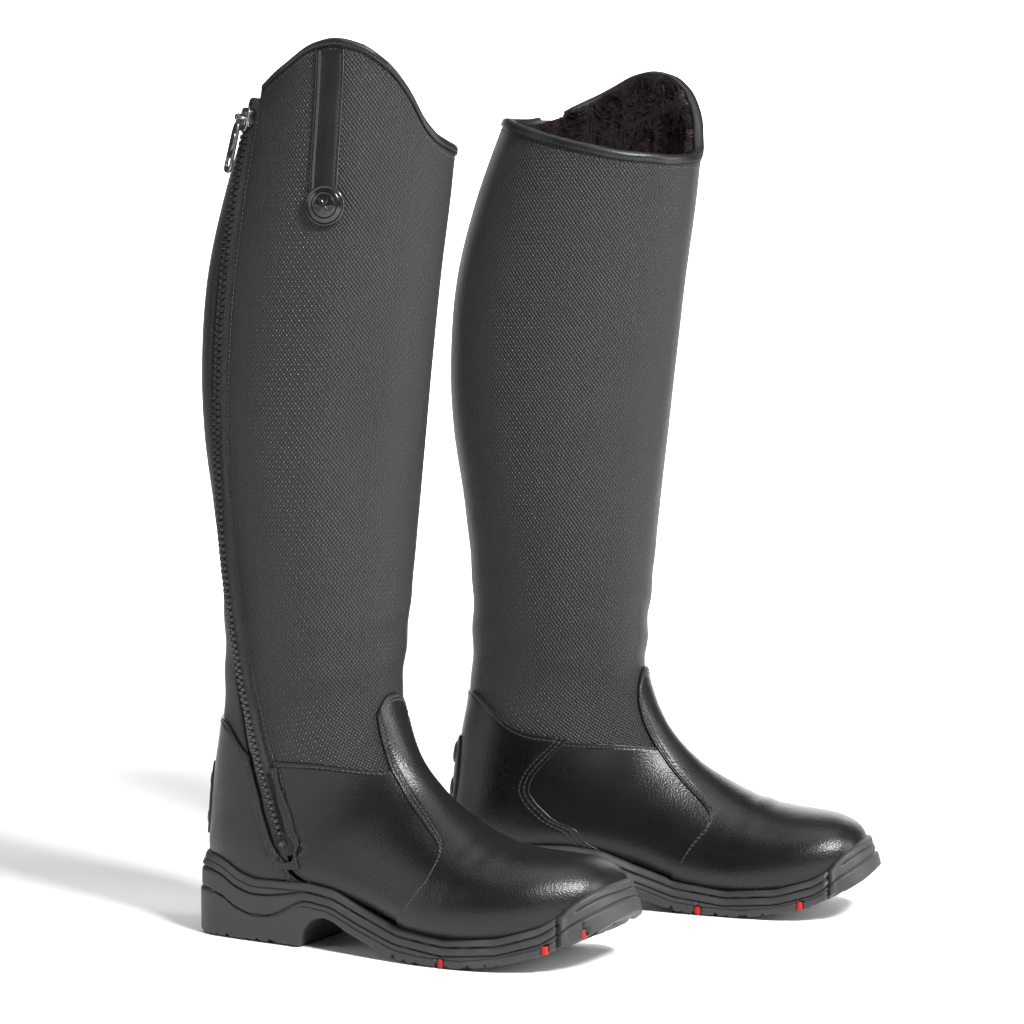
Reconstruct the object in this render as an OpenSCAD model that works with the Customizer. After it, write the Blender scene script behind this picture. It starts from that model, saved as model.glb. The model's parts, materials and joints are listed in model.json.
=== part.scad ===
// Pair of tall, fleece-lined winter riding boots standing side by side.
// One boot is described in its own frame: +X from the back of the heel to the toe,
// +Y to the outer side of the leg, +Z up, with the tread on Z = 0.
// The left boot stands as drawn and the right boot is its mirror image.
// The model stands in +X forward, +Y to the wearer's left, +Z up.

/* [Stance] */
// each boot's turn outwards, degrees
toe_out = 6.4; // [0:0.2:10]
// sideways distance between the two heel backs
heel_gap = 157; // [150:1:200]
// how far the left boot stands ahead of the right one
left_ahead = 89; // [0:1:120]

/* [Shaft] */
// height of the crest on the outer side of the shaft
crest_h = 530; // [500:2:560]
// width of the binding round the top edge
binding_h = 5; // [3.5:0.5:8]
// width of the upright strap on the outer side
strap_w = 17; // [12:1:20]

/* [Layers] */
// thickness of the outer leather and fabric
upper_t = 2; // [1.4:0.1:2.2]
// thickness of the toe puff and heel stiffener
stiffener_t = 1; // [0.6:0.1:1.2]
// thickness of the fleece lining
fleece_t = 4; // [3:0.2:5]
// thickness of the leather laid on top of the outer panels
overlay_t = 1.2; // [0.8:0.1:1.6]

/* [Zip] */
// width of the closed chain
chain_w = 6.4; // [5:0.2:7]
// thickness of the chain
chain_t = 2.2; // [1.6:0.1:2.4]
// length of the pull tab
pull_l = 36; // [24:1:44]

/* [Badge] */
// diameter of the round badge
badge_d = 23; // [17:1:25]
// height of its dome
badge_h = 3.4; // [2.5:0.1:5]

/* [Sole] */
// thickness of the midsole
midsole_t = 2.5; // [2.4:0.1:2.8]
// depth of the tread grooves
lug_h = 3; // [1.5:0.25:3.5]
// width of the tread grooves
lug_gap = 4; // [2.5:0.5:6]
// diameter of the grip plugs at the edge of the tread
plug_d = 4.6; // [4:0.2:5.4]

/* [Hidden] */
// heights above the ankle follow the crest height
function up(z) = z <= 168 ? z : 168 + (z - 168) * (crest_h - 168) / 362;

// Rings round the leg and foot, from above the crest down to the toe. Each one has
// its front or upper point X Z, its back or under point X Z, where along it the ring
// is widest, its half width, its sideways offset, and how square its two halves are.
rings = [
    [170, up(545), 56, up(545), 0.50, 55.0, 0, 2.1, 1.9],
    [167, up(500), 42, up(500), 0.50, 54.5, 0, 2.1, 1.9],
    [162, up(445), 21, up(445), 0.50, 53.5, 0, 2.1, 1.9],
    [155, up(395), 8, up(395), 0.50, 53.5, 0, 2.1, 1.95],
    [149, up(345), 4, up(345), 0.50, 54.0, 0, 2.1, 2.0],
    [144, up(300), 6, up(300), 0.50, 55.0, 0, 2.1, 2.0],
    [139, up(255), 13, up(255), 0.50, 54.5, 0, 2.1, 2.0],
    [134.5, up(208), 18, up(208), 0.50, 50.5, 0, 2.1, 2.0],
    [130.5, 168, 18.5, 165, 0.50, 46.0, 0, 2.1, 2.0],
    [130, 146, 16.5, 130, 0.50, 41.5, 0, 2.1, 2.1],
    [134, 131, 11.5, 100, 0.49, 38.5, 0, 2.1, 2.2],
    [140, 117, 8, 70, 0.48, 36.0, 0, 2.1, 2.3],
    [147, 106, 9, 42, 0.46, 34.5, 0, 2.1, 2.5],
    [156, 96, 33, 27, 0.44, 34.0, 0, 2.1, 2.6],
    [167, 86, 80, 28, 0.42, 35.5, 1, 2.1, 2.6],
    [181, 77, 122, 22, 0.40, 39.0, 3, 2.1, 2.6],
    [199, 68, 160, 11.5, 0.38, 44.0, 4, 2.1, 2.6],
    [220, 62.5, 196, 9.5, 0.38, 46.5, 2, 2.1, 2.6],
    [240, 60.5, 229, 13, 0.38, 43.5, -2, 2.15, 2.6],
    [256, 58.5, 254, 20, 0.40, 34, -6, 2.2, 2.5],
    [267.5, 52.5, 268.5, 27, 0.45, 22, -8, 2.3, 2.4],
    [273, 41, 273.4, 37, 0.50, 4, -9, 2.2, 2.2]];

function cubic(a, b, c, d, t) = 0.5 * (2 * b + (c - a) * t
    + (2 * a - 5 * b + 4 * c - d) * t * t + (3 * b - a - 3 * c + d) * t * t * t);
function ring_at(s) = let (n = len(rings), q = min(n - 1.0001, max(0, s)), i = floor(q),
    b = rings[i], c = rings[i + 1], a = i > 0 ? rings[i - 1] : 2 * b - c,
    d = i + 2 < n ? rings[i + 2] : 2 * c - b) cubic(a, b, c, d, q - i);
function bow(v, n) = sign(v) * pow(abs(v), 2 / n);

// Point of the outer surface on ring s at angle a: 0 front, 90 outer side, 180 back.
function surf(s, a) = let (r = ring_at(s), ox = r[2] + r[4] * (r[0] - r[2]),
    oz = r[3] + r[4] * (r[1] - r[3]), c = cos(a), n = c > 0 ? r[7] : r[8],
    lx = c > 0 ? r[0] - ox : ox - r[2], lz = c > 0 ? r[1] - oz : oz - r[3])
    [ox + lx * bow(c, n), r[6] + r[5] * bow(sin(a), n), oz + lz * bow(c, n)];
function unit(v) = v / norm(v);
function normal(s, a) = unit(cross(surf(s + 0.004, a) - surf(s - 0.004, a),
    surf(s, a + 0.4) - surf(s, a - 0.4)));
function at(p, o) = surf(p[0], p[1]) + o * normal(p[0], p[1]);
// angle reached by going d mm round ring s from angle a
function across(s, a, d) = let (k = norm(surf(s, a + 1) - surf(s, a - 1)) / 2,
    b = a + d / k / 2, m = norm(surf(s, b + 1) - surf(s, b - 1)) / 2) a + d / m;

// value of a list of [x, y] pairs at x, straight between the pairs
function pick(t, x, i = 0) = x <= t[i][0] ? t[i][1] : i + 1 >= len(t) ? t[i][1]
    : x < t[i + 1][0] ? t[i][1] + (t[i + 1][1] - t[i][1]) * (x - t[i][0])
        / (t[i + 1][0] - t[i][0]) : pick(t, x, i + 1);
function along(t, v) = let (n = len(t) - 1, q = min(n - 0.0001, max(0, v * n)),
    i = floor(q)) t[i] + (t[i + 1] - t[i]) * (q - i);
// patch between four edges of [ring, angle] points, rows down and columns across
function coons(top, low, left, right, nr, nc) = [for (i = [0:nr]) [for (j = [0:nc])
    let (v = i / nr, u = j / nc, a = left[0], b = right[0], c = left[len(left) - 1],
        d = right[len(right) - 1])
    (1 - v) * along(top, u) + v * along(low, u) + (1 - u) * along(left, v)
        + u * along(right, v) - (1 - u) * (1 - v) * a - u * (1 - v) * b
        - (1 - u) * v * c - u * v * d]];

function flat(l) = [for (a = l) for (b = a) b];
function grid(g, o) = [for (r = g) [for (p = r) at(p, o)]];
// solid between the grid g lifted to heights lo and hi above the outer surface
module layer(g, lo, hi) slab(grid(g, hi), grid(g, lo));
module slab(top, low) {
    r = len(top);
    c = len(top[0]);
    n = r * c;
    turn = cross(top[1][0] - top[0][0], top[0][1] - top[0][0]) * (top[0][0] - low[0][0]) < 0;
    f = concat(
        [for (i = [0:r - 2]) for (j = [0:c - 2]) let (a = i * c + j)
            each [[a, a + 1, a + c + 1], [a, a + c + 1, a + c],
                [n + a, n + a + c + 1, n + a + 1], [n + a, n + a + c, n + a + c + 1]]],
        [for (j = [0:c - 2]) let (b = (r - 1) * c + j) each [[j + 1, j, n + j],
            [j + 1, n + j, n + j + 1], [b, b + 1, n + b + 1], [b, n + b + 1, n + b]]],
        [for (i = [0:r - 2]) let (a = i * c, e = a + c - 1) each [[a, a + c, n + a + c],
            [a, n + a + c, n + a], [e + c, e, n + e], [e + c, n + e, n + e + c]]]);
    polyhedron(concat(flat(top), flat(low)),
        turn ? [for (t = f) [t[0], t[2], t[1]]] : f, convexity = 8);
}
// closed tube: the outer grid runs all the way round, the inner one lines it
module tube(top, low) {
    r = len(top);
    c = len(top[0]);
    n = r * c;
    turn = cross(top[1][0] - top[0][0], top[0][1] - top[0][0]) * (top[0][0] - low[0][0]) < 0;
    f = concat(
        [for (i = [0:r - 2]) for (j = [0:c - 1]) let (a = i * c + j, b = i * c + (j + 1) % c)
            each [[a, b, b + c], [a, b + c, a + c],
                [n + a, n + b + c, n + b], [n + a, n + a + c, n + b + c]]],
        [for (j = [0:c - 1]) let (a = j, b = (j + 1) % c, e = (r - 1) * c + j,
            g = (r - 1) * c + (j + 1) % c) each [[b, a, n + a], [b, n + a, n + b],
            [e, g, n + g], [e, n + g, n + e]]]);
    polyhedron(concat(flat(top), flat(low)),
        turn ? [for (t = f) [t[0], t[2], t[1]]] : f, convexity = 8);
}

// upper edge of the shaft, by angle: high on the outer side, low on the inner side
rim = [[-180, 1.12], [-156, 1.14], [-130, 1.26], [-101, 1.41], [-67, 1.56], [-35, 1.60],
    [-6, 1.57], [8, 1.50], [19, 1.36], [28, 1.12], [43, 0.78], [59, 0.54], [72, 0.45],
    [80, 0.43], [93, 0.51], [108, 0.72], [130, 0.98], [151, 1.10], [180, 1.12]];
function rim_at(a) = pick(rim, a < -180 ? a + 360 : a > 180 ? a - 360 : a);
// angle of the zip, by ring
zip_line = [[1, 137.5], [2, 128.2], [3, 122.9], [4, 121.4], [5, 122.5], [6, 125.4],
    [7, 123.6], [8, 116.4], [9, 107.9], [10, 99.8], [11, 94.2], [12, 90.5], [13, 94.7]];
zip_edge = 8;
function zip_side(s, d) = across(s, pick(zip_line, s), d);

// lower edge of the shaft: two side seams and a notch for the tongue of the vamp
hem = [[-170, 8.88], [-145, 8.92], [-122, 9.35], [-100, 10.0], [-76, 10.6], [-52, 11.3],
    [-29.5, 12.28], [-28, 10.83], [-25.4, 10.0], [-18, 9.35], [-9, 8.93], [0, 8.8],
    [11, 8.88], [19, 9.13], [24.6, 9.5], [26.8, 10.45], [29, 11.64], [33.5, 11.55],
    [65, 10.66], [91, 10.18]];
hem_cols = [91, 78, 65, 55, 44, 36, 31, 29, 26.8, 24.6, 19, 11, 0, -9, -18, -25.4, -28,
    -29.5, -36, -46, -58, -72, -88, -104, -122, -140, -156, -170];
gusset_rear = [[1.1, 164], [3, 168], [5, 173], [7, 181], [9, 190]];

function shaft_grid(nr) = [for (i = [0:nr]) let (v = i / nr,
    s0 = rim_at(130) + (10.18 - rim_at(130)) * v, s1 = rim_at(165) + (8.88 - rim_at(165)) * v,
    l = i == nr ? 92.6 : zip_side(s0, -zip_edge), r = pick(gusset_rear, s1) - 359.3)
    [for (h = hem_cols) let (u = (91 - h) / 261, a = l + (r - l) * u,
        t = rim_at(128 - 323 * u)) [t + (pick(hem, h) - t) * v, a]]];

tongue = [[9.53, 23], [9.17, 17.5], [8.92, 10], [8.84, 0], [8.97, -9], [9.4, -17],
    [10.03, -23.6]];
vamp_left = [[9.53, 23], [10.45, 25], [11.7, 27], [12.69, 28.6], [14.54, 37],
    [15.46, 46.5], [15.81, 70], [15.81, 90], [15.86, 112], [15.95, 149], [16.8, 150],
    [17.6, 150], [18.4, 150], [19.2, 150], [19.9, 150], [20.4, 150], [20.85, 150]];
vamp_right = [[10.03, -23.6], [10.83, -26], [12.07, -26.8], [13.13, -30], [14.6, -40.5],
    [15.42, -50], [15.73, -64], [15.71, -83], [15.76, -105], [15.95, -149],
    [16.8, -150], [17.6, -150], [18.4, -150], [19.2, -150], [19.9, -150], [20.4, -150],
    [20.85, -150]];
toe_edge = [[20.85, 150], [20.88, 75], [20.9, 0], [20.88, -75], [20.85, -150]];

back_top = [[9.97, 106.4], [9.17, 131], [9.0, 160], [8.96, 190], [8.99, 215], [9.42, 238],
    [10.07, 260], [10.68, 285]];
back_left = concat([for (s = [9.97, 10.6, 11.3, 12, 12.6, 13]) [s, zip_side(s, zip_edge)]],
    [[13.25, 104], [13.5, 112], [13.75, 120]]);
back_right = [[10.68, 285], [11.07, 274.8], [11.4, 268.8], [11.77, 266.3], [12.17, 267],
    [12.77, 267.2], [13.55, 263.2], [14.05, 247.5], [14.3, 238]];
back_low = [[13.75, 120], [13.05, 139], [12.65, 160], [12.55, 180], [12.65, 200],
    [13.15, 222], [14.3, 238]];

ql_top = [[10.24, 91.9], [10.73, 65], [11.61, 35], [11.76, 29.6]];
ql_left = concat([for (s = [10.24, 10.8, 11.4, 12, 12.6, 13]) [s, zip_side(s, -zip_edge)]],
    [[13.2, 99], [13.5, 108.6], [13.75, 116.6]]);
ql_right = [[11.76, 29.6], [12.69, 31], [14.5, 39.6], [15.38, 49.3], [15.72, 72],
    [15.72, 90], [15.77, 112], [15.86, 149]];
ql_low = [[13.75, 116.6], [14.3, 123], [15, 132.5], [15.86, 149]];
qm_top = [[10.68, -73.2], [11.36, -52], [12.36, -29.4]];
qm_left = [[10.68, -73.2], [11.07, -82.8], [11.4, -88.6], [11.77, -91.2], [12.17, -90.6],
    [12.77, -90.3], [13.55, -94.4], [14.05, -109.8], [14.3, -120]];
qm_right = [[12.36, -29.4], [13.13, -33], [14.56, -43.6], [15.34, -53], [15.63, -65.5],
    [15.61, -83], [15.65, -105], [15.86, -149]];
qm_low = [[14.3, -120], [15, -132], [15.86, -149]];

module vamp() color([0.06, 0.06, 0.06])
    layer(coons(tongue, toe_edge, vamp_left, vamp_right, 22, 14), -upper_t, 0);
module quarter_lateral() color([0.07, 0.07, 0.07])
    layer(coons(ql_top, ql_low, ql_left, ql_right, 9, 7), -upper_t, 0);
module quarter_medial() color([0.07, 0.07, 0.07])
    layer(coons(qm_top, qm_low, qm_left, qm_right, 9, 6), -upper_t, 0);
module heel_counter() color([0.06, 0.06, 0.06])
    layer(coons(back_top, back_low, back_left, back_right, 8, 16), -upper_t, 0);
module shaft_panel() color([0.2, 0.2, 0.21]) layer(shaft_grid(10), -upper_t, 0);
module rear_gusset() color([0.1, 0.1, 0.1]) {
    g = [for (i = [0:11]) let (v = i / 11, s0 = rim_at(146) + (9.89 - rim_at(146)) * v,
        l = zip_side(s0, zip_edge)) [for (j = [0:5]) let (u = j / 5,
            low = pick([[0, 9.89], [0.3, 9.09], [0.65, 8.95], [1, 8.91]], u),
            t = rim_at(146 + 18 * u), s = t + (low - t) * v)
            [s, l + (pick(gusset_rear, s) - l) * u]]];
    layer(g, -upper_t, 0);
}
stiff_in = -upper_t - 0.9 - stiffener_t;
lining_out = stiff_in - 0.7;
lining_in = lining_out - fleece_t;
module toe_puff() color([0.75, 0.7, 0.6]) layer([for (s = [18.7, 19.2, 19.6, 20, 20.3])
    [for (j = [0:16]) [s, 120 - 15 * j]]], stiff_in, stiff_in + stiffener_t);
module counter_stiffener() color([0.75, 0.7, 0.6]) layer([for (i = [0:5])
    [for (j = [0:14]) [10.2 + 2.2 * i / 5, 112 + 9.8 * j]]], stiff_in, stiff_in + stiffener_t);
module shaft_lining() color([0.16, 0.12, 0.1]) {
    n = 28;
    g = [for (i = [0:9]) [for (j = [0:n - 1]) let (a = 360 * j / n - 180,
        t = rim_at(a) + 0.06) [t + (9.0 - t) * i / 9, a]]];
    tube(grid(g, lining_out), grid(g, lining_in));
}
module foot_lining() color([0.16, 0.12, 0.1]) {
    n = 24;
    g = [for (s = [9.04, 10, 11, 12, 13, 14, 15, 16, 17, 18, 18.9, 19.6])
        [for (j = [0:n - 1]) [s, 360 * j / n - 180]]];
    tube(grid(g, lining_out), grid(g, lining_in));
}
module footbed() color([0.2, 0.15, 0.12]) layer([for (s = [13.4, 14, 15, 16, 17, 18, 18.9])
    [for (j = [0:4]) [s, 150 + 15 * j]]], lining_in - 4.2, lining_in - 1);
module insole_board() color([0.6, 0.5, 0.38]) layer([for (i = [0:12]) [for (j = [0:5])
    [13.3 + 7 * i / 12, 153.5 + 10.6 * j]]], -2.2, -0.4);

module spur_rest() color([0.05, 0.05, 0.05]) layer([for (i = [0:6]) [for (j = [0:6])
    let (w = 20 + 5 * sin(180 * i / 6)) [9.95 + 1.5 * i / 6, 180 - w + w * j / 3]]],
    0.4, 0.4 + overlay_t);
module spur_pads() color([0.3, 0.3, 0.3]) for (s = [10.33, 11.1])
    layer([for (i = [0:4]) [for (j = [0:4]) let (w = 5 + 6 * sin(30 + 30 * i))
        [s - 0.2 + 0.1 * i, 180 - w + w * j / 2]]], 0.75 + overlay_t, 2.4 + overlay_t);
module trim_strap() color([0.04, 0.04, 0.04]) {
    g = [for (i = [0:10]) [for (j = [0:4]) let (c = 79 - 8 * i / 10,
        t = rim_at(c + 8 - 4 * j) + (binding_h + 1) / 50, s = t + (2.3 - t) * i / 10)
        [s, across(s, c, strap_w * (0.5 - j / 4))]]];
    layer(g, 0.4, 0.4 + overlay_t);
}
module badge() color([0.03, 0.03, 0.03]) {
    o = at([2.18, 70.2], 0);
    n = normal(2.18, 70.2);
    translate(o + n * (0.9 + overlay_t)) rotate([0, acos(n[2]), atan2(n[1], n[0])])
        rotate_extrude($fn = 96) polygon(concat([[0, 0]],
            [[badge_d / 2, 0], [badge_d / 2, 1.2], [badge_d / 2 - 1.2, 1.6]],
            [for (k = [6:-1:0]) [k * (badge_d / 2 - 1.6) / 6,
                1.2 + (badge_h - 1.2) * cos(14 * k)]]));
}
module top_binding() color([0.05, 0.05, 0.05]) {
    lo = lining_in - 1;
    m = [[binding_h, 0.35], [binding_h, 1.5], [-1.5, 1.5], [-1.5, lo - 1.1],
        [binding_h, lo - 1.1], [binding_h, lo], [-0.4, lo], [-0.4, 0.35]];
    a0 = 146.5;
    a1 = 487;
    n = 44;
    p = [for (j = [0:n]) let (a = a0 + (a1 - a0) * j / n, b = a > 180 ? a - 360 : a,
        t = rim_at(b)) [for (q = m) at([t + q[0] / 50, b], q[1])]];
    f = concat([for (j = [0:n - 1]) for (k = [0:7]) let (a = j * 8 + k,
        b = j * 8 + (k + 1) % 8) each [[a, b, b + 8], [a, b + 8, a + 8]]],
        [[0, 7, 6], [0, 6, 1], [1, 6, 3], [1, 3, 2], [3, 6, 5], [3, 5, 4]],
        [for (t = [[0, 6, 7], [0, 1, 6], [1, 3, 6], [1, 2, 3], [3, 5, 6], [3, 4, 5]])
            [t[0] + n * 8, t[1] + n * 8, t[2] + n * 8]]);
    polyhedron(flat(p), f, convexity = 10);
}

// The zip lies on an arc of a circle. Its frame: X out from the arc's centre, Y down
// along the chain, Z the axis. Turning it by chain_tilt makes X the chain's outward side.
zip_top = [57.2, 39.9, up(489)];
zip_end = [75.1, 32.6, 52];
zip_bow = 29.6;
zip_chord = zip_end - zip_top;
zy = unit(zip_chord);
zb = [-27.5, 10.9, 0];
zx = unit(zb - zy * (zb * zy));
zz = cross(zx, zy);
zip_r = (norm(zip_chord) * norm(zip_chord) / 4 + zip_bow * zip_bow) / (2 * zip_bow);
zip_half = asin(norm(zip_chord) / 2 / zip_r);
zip_c = (zip_top + zip_end) / 2 - zx * (zip_r - zip_bow);
chain_tilt = 43.3;
chain_lift = 0.4;
slider_at = -zip_half + 0.4;
module zip_frame() multmatrix([[zx[0], zy[0], zz[0], zip_c[0]],
    [zx[1], zy[1], zz[1], zip_c[1]], [zx[2], zy[2], zz[2], zip_c[2]]]) children();
module on_chain(a) zip_frame() rotate([0, 0, a]) translate([zip_r, 0, 0])
    rotate([0, chain_tilt, 0]) translate([chain_lift, 0, 0]) children();
module chain_sweep(a0, a1) zip_frame() rotate([0, 0, a0])
    rotate_extrude(angle = a1 - a0, $fn = 720) translate([zip_r, 0]) rotate(-chain_tilt)
        translate([chain_lift, 0]) children();
module zip_teeth_front() color([0.08, 0.08, 0.08]) chain_sweep(-zip_half + 0.1, zip_half - 0.9)
    translate([-chain_t / 2, -chain_w / 2]) square([chain_t, chain_w / 2 - 0.2]);
module zip_teeth_rear() color([0.08, 0.08, 0.08]) {
    chain_sweep(-zip_half + 0.1, zip_half - 0.9)
        translate([-chain_t / 2, 0.2]) square([chain_t, chain_w / 2 - 0.2]);
    chain_sweep(zip_half - 0.8, zip_half - 0.5)
        translate([-chain_t / 2 - 0.2, -chain_w / 2]) square([chain_t + 0.8, chain_w]);
}
function tape(a, b, s0) = [for (i = [0:18]) let (s = s0 + (12.95 - s0) * i / 18)
    [for (d = [a, (a + b) / 2, b]) [s, zip_side(s, d)]]];
module zip_tape_front() color([0.03, 0.03, 0.03])
    layer(tape(-0.2, -12, 1.13), -upper_t - 1.95, -upper_t - 1.4);
module zip_tape_rear() color([0.03, 0.03, 0.03])
    layer(tape(0.2, 12, 1.13), -upper_t - 1.95, -upper_t - 1.4);
module zip_flap() color([0.04, 0.04, 0.04]) layer([for (i = [0:12]) let (s = 1.35
    + 11.2 * i / 12) [for (d = [-15, -5, 5, 15]) [s, zip_side(s, d)]]],
    lining_in - 2.5, lining_in - 1.4);
facing_rows = [10.42, 10.9, 11.4, 11.9, 12.4, 12.85];
module zip_facing() color([0.05, 0.05, 0.05]) {
    inner = concat([for (s = facing_rows) [s, zip_side(s, -6.6)]], [[13.15, 96.4],
        [13.08, 99.7], [12.9, 100.8]], [for (k = [5:-1:0]) [facing_rows[k], zip_side(facing_rows[k], 6.8)]]);
    outer = concat([for (s = facing_rows) [s, zip_side(s, -11.4)]], [[13.46, 101.4],
        [13.27, 106.3], [12.95, 107.1]], [for (k = [5:-1:0]) [facing_rows[k], zip_side(facing_rows[k], 11.4)]]);
    layer([inner, (inner + outer) / 2, outer], 0.4, 0.4 + overlay_t);
}
module zip_slider() color([0.5, 0.5, 0.5]) on_chain(slider_at) {
    t = chain_t / 2;
    w = chain_w / 2;
    translate([t + 0.3, 0, 0]) rotate([0, 90, 0]) linear_extrude(1.3) polygon([
        [-w - 0.6, -7], [w + 0.6, -7], [w + 1.4, -4.5], [w + 1.4, 3], [w, 7], [-w, 7],
        [-w - 1.4, 3], [-w - 1.4, -4.5]]);
    for (m = [0, 1]) mirror([0, 0, m]) {
        translate([-t - 1, -4.5, w + 0.4]) cube([2 * t + 1.5, 9, 1]);
        translate([-t - 1, -4.5, 1.6]) cube([0.7, 9, w - 0.6]);
        translate([t + 1.4, -2, 1.7]) cube([4.6, 3.2, 1]);
    }
    translate([t + 5.2, -0.4, -1.8]) cylinder(h = 3.6, r = 0.8, $fn = 32);
}
module zip_pull() color([0.35, 0.35, 0.36]) on_chain(slider_at)
    translate([chain_t / 2 + 5.2, -0.4, 0]) difference() {
        union() {
            translate([0, 0, -1.35]) cylinder(h = 2.7, r = 2.3, $fn = 40);
            translate([-0.8, 0, -1.35]) cube([1.6, 6, 2.7]);
            translate([-0.8, 4, 0]) rotate([0, 90, 0]) linear_extrude(1.6) polygon([
                [-2, 0], [2, 0], [3.6, 3], [3.6, pull_l - 9], [2.6, pull_l - 6.4],
                [-2.6, pull_l - 6.4], [-3.6, pull_l - 9], [-3.6, 3]]);
        }
        translate([0, 0, -2]) cylinder(h = 4, r = 1.15, $fn = 32);
        translate([-2, pull_l - 13, -1.6]) cube([4, 7, 3.2]);
    }

// Sole seen from above: outer wall and the hollow for the upper.
wall_pts = [[3.4, 0], [5, 14], [9.4, 24], [20.8, 30.7], [40, 33.7], [80, 37.2],
    [120, 42.2], [160, 47.7], [185, 49.4], [205, 48.7], [225, 45.7], [244.3, 40.2],
    [258.7, 32.2], [270.6, 21], [278.3, 6], [280.4, -10], [277.9, -24], [271.5, -36],
    [260.4, -44.5], [244.3, -47.5], [228, -47.8], [210, -46], [185, -43.1], [160, -39.7],
    [140, -38], [120, -38], [80, -36.7], [40, -33.7], [20.8, -30.7], [9.4, -24], [5, -14]];
well_pts = [[6.8, 0], [8.2, 12], [11.6, 20.8], [20.8, 27], [40, 30.4], [80, 34], [120, 39],
    [160, 44.4], [185, 46], [205, 45.1], [225, 41.6], [245, 35.2], [258, 27.6], [268, 17],
    [274.5, 3], [275.5, -10], [273.3, -24], [269, -32], [262, -38], [250, -42.4],
    [232, -44.2], [215, -43.1], [190, -40.4], [160, -36.8], [140, -35.2], [120, -35.2],
    [80, -33.7], [40, -30.4], [20.8, -27], [11.6, -20.8], [8.2, -12]];
function loop(p, k = 3) = let (n = len(p)) [for (i = [0:n - 1]) for (j = [0:k - 1])
    cubic(p[(i + n - 1) % n], p[i], p[(i + 1) % n], p[(i + 2) % n], j / k)];
// Sole seen from the side: X and Z of the underside, the rim and the floor of the well.
under = [[1, 14], [3, 6], [9, 0], [87, 0], [90, 10], [97, 17], [105, 19], [113, 17],
    [121, 13], [144, 5], [158, 1], [166, 0], [203, 0], [225, 3.5], [245, 9], [262, 17],
    [275, 25], [285, 33]];
brim = [[285, 47], [276, 46], [267, 40.5], [258, 33], [247, 26], [223, 19], [190, 16],
    [157, 19.5], [130, 28], [110, 35.5], [89, 37.5], [50, 36.5], [38, 40], [29, 45.5],
    [19, 48.5], [1, 49]];
floor_line = [[-5, 22.3], [30, 23], [80, 24.3], [104, 22], [122, 18], [140, 12.5],
    [160, 7.6], [180, 6], [196, 5.8], [229, 9.2], [254, 16], [268, 23], [280, 31]];
function lifted(p, d) = [for (q = p) [q[0], q[1] + d]];
function back_to_front(p) = [for (i = [len(p) - 1:-1:0]) p[i]];
module profile(p, w = 120) translate([0, w / 2, 0]) rotate([90, 0, 0]) linear_extrude(w)
    polygon(p);
plugs = [[189, 47.2], [249.5, 36.2], [266.5, 23], [174, -39.6], [239, -45.9]];
module outsole() color([0.25, 0.25, 0.25]) difference() {
    intersection() {
        profile(concat(under, brim));
        linear_extrude(60) polygon(loop(wall_pts));
    }
    intersection() {
        profile(concat(floor_line, [[280, 80], [-5, 80]]));
        linear_extrude(90) polygon(loop(well_pts));
    }
    for (x = [16, 30, 44, 58, 72, 152, 166, 181, 196, 210, 222, 233, 260])
        translate([x - lug_gap / 2, -60, pick(under, x) - 6])
            cube([lug_gap, 120, 6 + lug_h * (x > 215 ? 0.8 : 1)]);
    for (p = plugs) translate([p[0], p[1], -1])
        cylinder(h = pick(under, p[0]) + 5.6, d = plug_d + 0.6, $fn = 40);
}
module grip_plugs() color([0.7, 0.1, 0.08]) for (p = plugs)
    translate([p[0], p[1], pick(under, p[0]) + 0.2]) cylinder(h = 4, d = plug_d, $fn = 40);
module sole_plate(a, b) intersection() {
    profile(concat(lifted(floor_line, a), back_to_front(lifted(floor_line, b))));
    linear_extrude(90) offset(delta = -0.6) polygon(loop(well_pts));
}
shank_line = [for (q = floor_line) if (q[0] > 20 && q[0] < 150) q];
module shank_bar(a, b, w) profile(concat(lifted(shank_line, a),
    back_to_front(lifted(shank_line, b))), w);
module midsole() color([0.35, 0.33, 0.3]) difference() {
    sole_plate(0.4, 0.4 + midsole_t);
    shank_bar(midsole_t - 1.1, midsole_t + 3, 15);
}
module shank() color([0.6, 0.6, 0.62]) intersection() {
    shank_bar(midsole_t - 0.8, midsole_t + 0.2, 12);
    translate([33, -20, 0]) cube([104, 40, 60]);
}

shift_x = -(285 + left_ahead) / 2;
module left() translate([shift_x + left_ahead, heel_gap / 2, 0]) rotate([0, 0, toe_out])
    children();
module right() translate([shift_x, -heel_gap / 2, 0]) rotate([0, 0, -toe_out])
    mirror([0, 1, 0]) children();

left() outsole();  // left_outsole
left() grip_plugs();  // left_grip_plugs
left() midsole();  // left_midsole
left() shank();  // left_shank
left() insole_board();  // left_insole_board
left() footbed();  // left_footbed
left() vamp();  // left_vamp
left() toe_puff();  // left_toe_puff
left() quarter_lateral();  // left_quarter_lateral
left() quarter_medial();  // left_quarter_medial
left() heel_counter();  // left_heel_counter
left() counter_stiffener();  // left_counter_stiffener
left() spur_rest();  // left_spur_rest
left() spur_pads();  // left_spur_pads
left() shaft_panel();  // left_shaft_panel
left() rear_gusset();  // left_rear_gusset
left() shaft_lining();  // left_shaft_lining
left() foot_lining();  // left_foot_lining
left() top_binding();  // left_top_binding
left() trim_strap();  // left_trim_strap
left() badge();  // left_badge
left() zip_tape_front();  // left_zip_tape_front
left() zip_tape_rear();  // left_zip_tape_rear
left() zip_teeth_front();  // left_zip_teeth_front
left() zip_teeth_rear();  // left_zip_teeth_rear
left() zip_facing();  // left_zip_facing
left() zip_flap();  // left_zip_flap
left() zip_slider();  // left_zip_slider
left() zip_pull();  // left_zip_pull
right() outsole();  // right_outsole
right() grip_plugs();  // right_grip_plugs
right() midsole();  // right_midsole
right() shank();  // right_shank
right() insole_board();  // right_insole_board
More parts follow.
